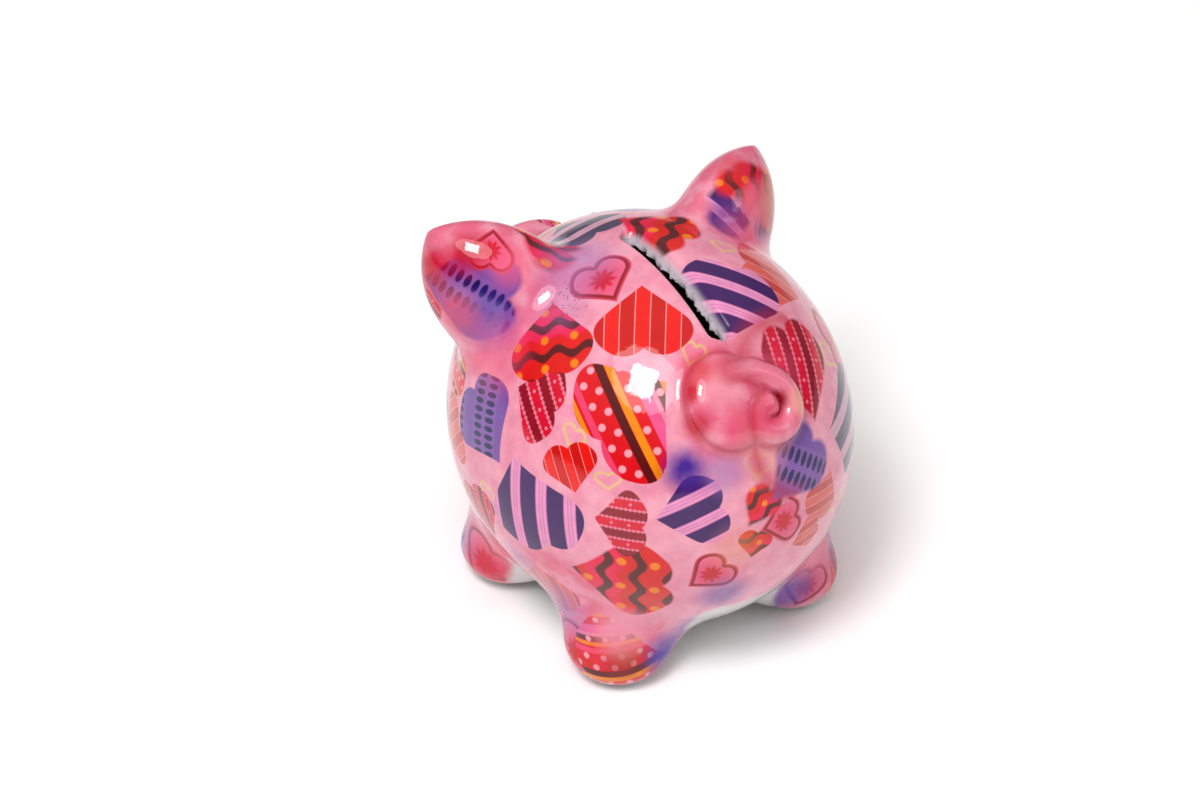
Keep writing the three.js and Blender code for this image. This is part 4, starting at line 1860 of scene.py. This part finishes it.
    def ribbons(self) -> Socket:
        """Ribbons of unlike widths and colours, with rows of pale dots on their edges.

        Returns:
            The fill.
        """
        part = self.math("FRACT", self.math("ADD", self.s, 0.5))
        shown = self.ground
        for middle, half, ink in (
                (0.5, 0.046, self.accent), (0.4, 0.05, self.figure), (0.74, 0.062, colour(250, 112, 162)),
                (0.83, 0.026, colour(246, 150, 180)), (0.9, 0.036, self.figure), (0.975, 0.03, self.accent),
                (0.07, 0.04, colour(248, 96, 130))):
            shown = self.mix(self.ring(part, middle, half, 0.012), shown, ink)
        for middle, shift in ((0.3, 0.0), (0.6, 0.45), (0.16, 0.5), (0.9, 0.2)):
            x = self.math("SUBTRACT", part, middle)
            y = self.math("DIVIDE", self.centred(self.math("MULTIPLY_ADD", self.t, 4.0, shift)), 4.0)
            shown = self.mix(self.below(self.length(x, y), 0.043, 0.014), shown, colour(252, 176, 190))
        return shown

    def lace(self) -> Socket:
        """Two red bands by turns, with beaded lace between them and small pale marks on them.

        Returns:
            The fill.
        """
        band = self.below(self.off_middle(self.s), 0.25)
        bead = self.off_middle(self.math("MULTIPLY", self.t, 5.0))
        wide = self.math("MULTIPLY_ADD", bead, 0.26, 0.04)
        off = self.off_middle(self.math("MULTIPLY", self.s, 2.0))
        lace = self.math("MULTIPLY", self.below(off, wide, 0.03), 0.85)
        x = self.centred(self.math("ADD", self.s, 0.5))
        y = self.math("MULTIPLY", self.centred(self.math("MULTIPLY", self.t, 1.3)), 0.77)
        mark = self.below(self.length(x, y), 0.07, 0.03)
        bands = self.mix(band, self.ground, self.figure)
        return self.mix(self.math("MAXIMUM", lace, mark), bands, self.accent)

    def dashes(self) -> Socket:
        """Rows of dark upright dashes, with every third row left out.

        Returns:
            The fill.
        """
        x = self.math("DIVIDE", self.centred(self.s), 0.36)
        y = self.math("DIVIDE", self.centred(self.math("MULTIPLY", self.t, 2.3)), 0.34)
        dash = self.below(self.length(x, y), 1.0, 0.22)
        skipped = self.below(self.off_middle(self.math("DIVIDE", self.s, 3.0)), 0.16)
        faint = self.mix(self.math("MULTIPLY", skipped, 0.25), self.ground, self.accent)
        shown = self.math("MULTIPLY", dash, self.math("SUBTRACT", 1.0, skipped))
        return self.mix(shown, faint, self.figure)

    def flower(self) -> Socket:
        """A dark ring inside the heart's edge and a ragged flower in its middle.

        Returns:
            The fill.
        """
        up = self.math("SUBTRACT", self.place[1], 0.6)
        reach = self.length(self.place[0], up)
        angle = self.math("ARCTAN2", up, self.place[0])
        petals = self.math("MULTIPLY_ADD", self.math("SINE", self.math("MULTIPLY", angle, 9.0)), 0.045, 0.2)
        flower = self.below(reach, petals, 0.09)
        glow = self.math("MULTIPLY", self.below(reach, 0.36, 0.3), 0.35)
        ring = self.ring(self.edge, -0.07, 0.035, 0.025)
        outside = self.below(self.math("MULTIPLY", self.edge, -1.0), 0.035, 0.02)
        inside = self.mix(flower, self.mix(glow, self.ground, self.accent), self.accent)
        inside = self.mix(self.math("MULTIPLY", outside, 0.6), inside, self.accent)
        return self.mix(ring, inside, self.figure)


@dataclass(frozen=True)
class Finish:
    """A finish that becomes one node material.

    Attributes:
        slot: the material's name.
    """

    slot: str

    def sockets(self, g: Graph, where: Socket) -> dict:
        """Draws the finish; each finish has its own."""
        raise NotImplementedError

    def material(self) -> bpy.types.Material:
        """Makes the material.

        Returns:
            The material.
        """
        made = bpy.data.materials.new(self.slot)
        made.use_nodes = True
        made.node_tree.nodes.clear()
        g = Graph(made.node_tree)
        where = g.node("ShaderNodeTexCoord").outputs["Object"]
        shader = g.node("ShaderNodeBsdfPrincipled", self.sockets(g, where))
        g.node("ShaderNodeOutputMaterial", {"Surface": shader.outputs[0]})
        return made


@dataclass(frozen=True)
class PrintedGlaze(Finish):
    """Clear gloss glaze over pink paper printed with hearts, white below and bare in the slot, with painted
    shade inside the ball and in the creases round the tail.
    """

    paper: Colour = colour(252, 180, 198)
    paper_deep: Colour = colour(245, 158, 182)
    fibre: Colour = colour(250, 206, 214)
    flush: Colour = colour(236, 104, 134)
    # Painted shade: deep red for the creases round the tail.
    crease: Colour = colour(200, 44, 60)
    speckle: Colour = colour(70, 26, 50)
    white: Colour = colour(236, 232, 232)
    clay: Colour = colour(214, 204, 212)
    clay_speck: Colour = colour(140, 126, 136)
    # Painted shade: near black for the unlit inside of the ball.
    hollow: Colour = colour(26, 22, 22)

    def pink_paper(self, g: Graph, where: Socket, blotch: Socket) -> Socket:
        """The blotchy pink paper, flushed where it bends over a limb.

        Args:
            g: the material's graph.
            where: the place on the object.
            blotch: the paper's slow noise.

        Returns:
            The colour.
        """
        fibre = g.noise(where, 1.1, 3.0)
        paper = g.mix(g.ease(blotch, 0.35, 0.7), self.paper, self.paper_deep)
        paper = g.mix(g.math("MULTIPLY", g.ease(fibre, 0.52, 0.75), 0.22), paper, self.fibre)
        flush = g.math("MULTIPLY", g.attribute("blush").outputs["Fac"], g.ease(blotch, 0.2, 0.75))
        return g.mix(g.math("MULTIPLY", flush, 0.8), paper, self.flush)

    def hearts(self, g: Graph, where: Socket, shown: Socket) -> Socket:
        """Both layers of hearts, a little worn.

        Args:
            g: the material's graph.
            where: the place on the object.
            shown: the paper's colour.

        Returns:
            The colour.
        """
        group = bpy.data.node_groups.get(HeartGraph.NAME) or HeartGraph().tree
        for layer in reversed(Layer):
            hearts = g.node("ShaderNodeGroup", node_tree=group)
            for port in ("Place", "Weave", "Ground", "Figure", "Accent"):
                source = g.attribute(f"{layer.value}_{port.lower()}").outputs
                g.feed(hearts.inputs[port], source["Vector" if port in ("Place", "Weave") else "Color"])
            shown = g.mix(hearts.outputs["Cover"], shown, hearts.outputs["Colour"])
        wear = g.math("MULTIPLY_ADD", g.noise(where, 3.0, 3.0), 0.3, 0.86)
        return g.scale(shown, g.node("ShaderNodeCombineXYZ", {0: wear, 1: wear, 2: wear}).outputs[0])

    def stains_and_painted_shade(self, g: Graph, where: Socket, shown: Socket) -> Socket:
        """The airbrushed patches, some of them painted shade, the painted shade in the creases, and a few
        dark specks.

        Args:
            g: the material's graph.
            where: the place on the object.
            shown: the print's colour.

        Returns:
            The colour.
        """
        spray = g.attribute("airbrush")
        ragged = g.math("MULTIPLY_ADD", g.noise(where, 4.0, 3.0), 0.7, 0.65)
        share = g.math("MULTIPLY", spray.outputs["Alpha"], ragged, clamp=True)
        shown = g.mix(share, shown, spray.outputs["Color"])
        # Painted shade: deeper red in the creases round the tail.
        shown = g.mix(g.math("MULTIPLY", g.attribute("crease").outputs["Fac"], 0.6), shown, self.crease)
        cells = g.node("ShaderNodeTexVoronoi", {"Vector": where, "Scale": 1100.0})
        dots = g.math("LESS_THAN", cells.outputs["Distance"], 0.2)
        dots = g.math("MULTIPLY", dots, g.ease(g.attribute("speckle").outputs["Fac"], 0.1, 0.9))
        return g.mix(g.math("MULTIPLY", dots, 0.9), shown, self.speckle)

    def sockets(self, g: Graph, where: Socket) -> dict:
        """Draws the print under its clear glaze.

        Args:
            g: the material's graph.
            where: the place on the object.

        Returns:
            The shader's inputs by name.
        """
        blotch = g.noise(where, 7.0, 4.0)
        shown = self.stains_and_painted_shade(g, where, self.hearts(g, where, self.pink_paper(g, where, blotch)))
        depth = g.attribute("depth").outputs["Fac"]
        wander = g.math("MULTIPLY_ADD", g.noise(where, 5.0, 3.0), 5.0, -2.5)
        below = g.math("ADD", g.attribute("underside").outputs["Fac"], wander)
        shown = g.mix(g.ease(below, -1.8, 1.8), shown, self.white)
        speck = g.math("MULTIPLY", g.ease(g.noise(where, 0.6, 2.0), 0.5, 0.8), 0.5)
        cut = g.ease(g.math("MULTIPLY_ADD", blotch, 0.7, depth), 0.9, 3.0)
        shown = g.mix(cut, shown, g.mix(speck, self.clay, self.clay_speck))
        # Painted shade: past the wall's depth, the inside of the ball is painted near black.
        shown = g.mix(g.ease(depth, 4.25, 4.5), shown, self.hollow)
        rich = g.node("ShaderNodeHueSaturation", {"Saturation": 1.06, "Value": 0.77, "Color": shown})
        grain = g.noise(where, 2.6, 3.0)
        waviness = g.math("ADD", g.noise(where, 9.0, 2.0), g.math("MULTIPLY", grain, 0.3))
        bump = g.node("ShaderNodeBump", {"Strength": 0.25, "Distance": 0.0004, "Height": waviness}).outputs[0]
        return {
            "Base Color": g.node("ShaderNodeGamma", {"Color": rich.outputs[0], "Gamma": 1.1}).outputs[0],
            "Roughness": g.math("MULTIPLY_ADD", grain, 0.12, 0.34),
            "Coat Weight": g.math("SUBTRACT", 1.0, g.math("MULTIPLY", cut, 0.85)), "Coat Roughness": 0.025,
            "Coat IOR": 1.5, "Specular IOR Level": 0.0, "Normal": bump, "Coat Normal": bump,
        }


@dataclass(frozen=True)
class BlackGlaze(Finish):
    """The eyes' black gloss."""

    slot: str = "eye_glaze"

    def sockets(self, g: Graph, where: Socket) -> dict:
        """Draws the gloss.

        Args:
            g: the material's graph.
            where: the place on the object.

        Returns:
            The shader's inputs by name.
        """
        cloud = g.noise(where, 1.5, 2.0)
        bump = g.node("ShaderNodeBump", {"Strength": 0.2, "Distance": 0.0002, "Height": cloud})
        return {
            "Base Color": g.mix(g.ease(cloud, 0.3, 0.8), colour(14, 10, 16), colour(44, 32, 44)),
            "Roughness": 0.3, "Coat Weight": 1.0, "Coat Roughness": 0.03, "Normal": bump.outputs[0],
        }


@dataclass(frozen=True)
class PlugRubber(Finish):
    """The plug's soft, slightly clear plastic."""

    slot: str = "plug_rubber"

    def sockets(self, g: Graph, where: Socket) -> dict:
        """Draws the plastic, with a little dust.

        Args:
            g: the material's graph.
            where: the place on the object.

        Returns:
            The shader's inputs by name.
        """
        cloud, grain = g.noise(where, 5.0, 3.0), g.noise(where, 0.5, 2.0)
        shown = g.mix(g.ease(cloud, 0.3, 0.75), colour(226, 222, 214), colour(206, 200, 192))
        dust = g.math("MULTIPLY", g.ease(grain, 0.62, 0.72), 0.35)
        bump = g.node("ShaderNodeBump", {"Strength": 0.3, "Distance": 0.0001, "Height": grain})
        return {
            "Base Color": g.mix(dust, shown, colour(168, 158, 150)),
            "Roughness": g.math("MULTIPLY_ADD", cloud, 0.2, 0.4), "Subsurface Weight": 0.15,
            "Subsurface Radius": (0.004, 0.003, 0.002), "Normal": bump.outputs[0],
        }


@dataclass(frozen=True)
class PaleFloor(Finish):
    """The studio's matt floor."""

    slot: str = "pale_floor"

    def sockets(self, g: Graph, where: Socket) -> dict:
        """Draws the floor's faint clouds."""
        tone = g.mix(g.noise(where, 60.0, 2.0), (0.96, 0.96, 0.96, 1), (0.98, 0.98, 0.98, 1))
        return {"Base Color": tone, "Roughness": 0.85}


# ---- The small pieces ---------------------------------------------------------------------------


@dataclass
class Eyes:
    """The two black beads on the face.

    Attributes:
        fit: a bead's size against the CAD one's.
    """

    fit: float = 0.97
    around: int = 48
    upwards: int = 24

    def build(self) -> None:
        """Models both eyes as beads in the places of the CAD ones."""
        finish = BlackGlaze().material()
        for node in ("left_eye", "right_eye"):
            low, high = (np.array(corner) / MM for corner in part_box(node))
            half = float(min(high[0] - low[0], high[2] - low[2])) / 2 * self.fit
            place = millimetres((low + high) / 2, half=(half,) * 3)
            bead = sphere("bead_" + node, place, self.around, self.upwards)
            bpy.ops.object.shade_smooth()
            dress(bead, node, finish)


@dataclass
class Stopper:
    """The soft plug in the belly, whose CAD piece has the right shape and stays."""

    node: str = "stopper_plug"

    def build(self) -> None:
        """Dresses the CAD plug."""
        obj = frame["nodes"][self.node]
        obj.data.materials.clear()
        obj.data.materials.append(PlugRubber().material())
        log.info("%s: %d faces", obj.name, len(obj.data.polygons))


# ---- The studio ---------------------------------------------------------------------------------


@dataclass
class Studio:
    """The camera, the pale floor and the soft light.

    Attributes:
        centre: the ball's middle, in millimetres.
        azimuth: the camera's azimuth in degrees.
        elevation: its elevation.
        distance: how far it is from the ball's middle, in metres.
        lens: its focal length on a sensor 36 mm wide.
        aim_right: how far right of the ball's middle it aims, in millimetres.
        aim_up: how far above the ball's middle it aims, across the line of sight.
    """

    centre: np.ndarray
    azimuth: float = 145.4
    elevation: float = 37.56
    distance: float = 1.44
    lens: float = 176.2
    aim_right: float = -12.13
    aim_up: float = 3.95

    def camera(self) -> None:
        """Adds the camera, above and behind the pig's left side."""
        out = toward(self.azimuth, self.elevation)
        angle = math.radians(self.azimuth)
        right = np.array([math.cos(angle), math.sin(angle), 0])
        up = np.cross(out, right)
        aim = (self.centre + right * self.aim_right + up * self.aim_up) * MM
        data = bpy.data.cameras.new("studio_camera")
        data.lens = self.lens
        data.sensor_width = 36
        obj = bpy.data.objects.new("studio_camera", data)
        bpy.context.scene.collection.objects.link(obj)
        matrix = np.eye(4)
        matrix[:3, 0], matrix[:3, 1], matrix[:3, 2] = right, up, out
        matrix[:3, 3] = aim + out * self.distance
        obj.matrix_world = Matrix(matrix.tolist())
        bpy.context.scene.camera = obj

    def lamp(self, name: str, azimuth: float, elevation: float, distance: float, size: tuple[float, float],
             power: float, shape: str = "ELLIPSE") -> None:
        """Adds a soft box that faces the bank.

        Args:
            name: its name.
            azimuth: where it stands, in degrees.
            elevation: how high it stands.
            distance: how far away, in metres.
            size: its width and height in metres.
            power: its power in watts.
            shape: RECTANGLE or ELLIPSE.
        """
        data = bpy.data.lights.new(name, "AREA")
        data.shape = shape
        data.size, data.size_y = size
        data.energy = power
        obj = bpy.data.objects.new(name, data)
        bpy.context.scene.collection.objects.link(obj)
        out = toward(azimuth, elevation)
        target = self.centre * MM
        obj.location = Vector(target + out * distance)
        obj.rotation_euler = Vector(out).to_track_quat("Z", "Y").to_euler()

    def build(self) -> None:
        """Sets up the whole studio."""
        self.camera()
        self.lamp("key_softbox", 124, 58, 1.3, (0.84, 0.84), 6.4)
        self.lamp("key_core", 123, 57, 1.28, (0.3, 0.38), 6.8, "RECTANGLE")
        self.lamp("right_fill", 230, 35, 1.8, (0.5, 0.9), 1.5)
        world = bpy.data.worlds.new("studio_air")
        bpy.context.scene.world = world
        world.use_nodes = True
        g = Graph(world.node_tree)
        sky = g.node("ShaderNodeSeparateXYZ", {0: g.node("ShaderNodeTexCoord").outputs["Generated"]})
        background = world.node_tree.nodes["Background"]
        background.inputs["Color"].default_value = (1.0, 0.99, 0.985, 1)
        height = g.ease(sky.outputs[2], 0.1, 0.9)
        g.feed(background.inputs["Strength"], g.math("MULTIPLY_ADD", height, 0.55, 0.2))
        bpy.context.scene.view_settings.view_transform = "Standard"
        pick()
        bpy.ops.mesh.primitive_plane_add(size=12)
        floor = settle(bpy.context.object, "pale_floor", Matrix.Identity(4))
        floor.data.materials.append(PaleFloor().material())


def main() -> None:
    """Builds the bank and its studio in order."""
    logging.basicConfig(level=logging.INFO, format="%(name)s: %(message)s")
    surface = BankSurface()
    CeramicSkin(surface).build()
    Eyes().build()
    Stopper().build()
    Studio(surface.ball.centre).build()


if __name__ == "__main__":
    main()
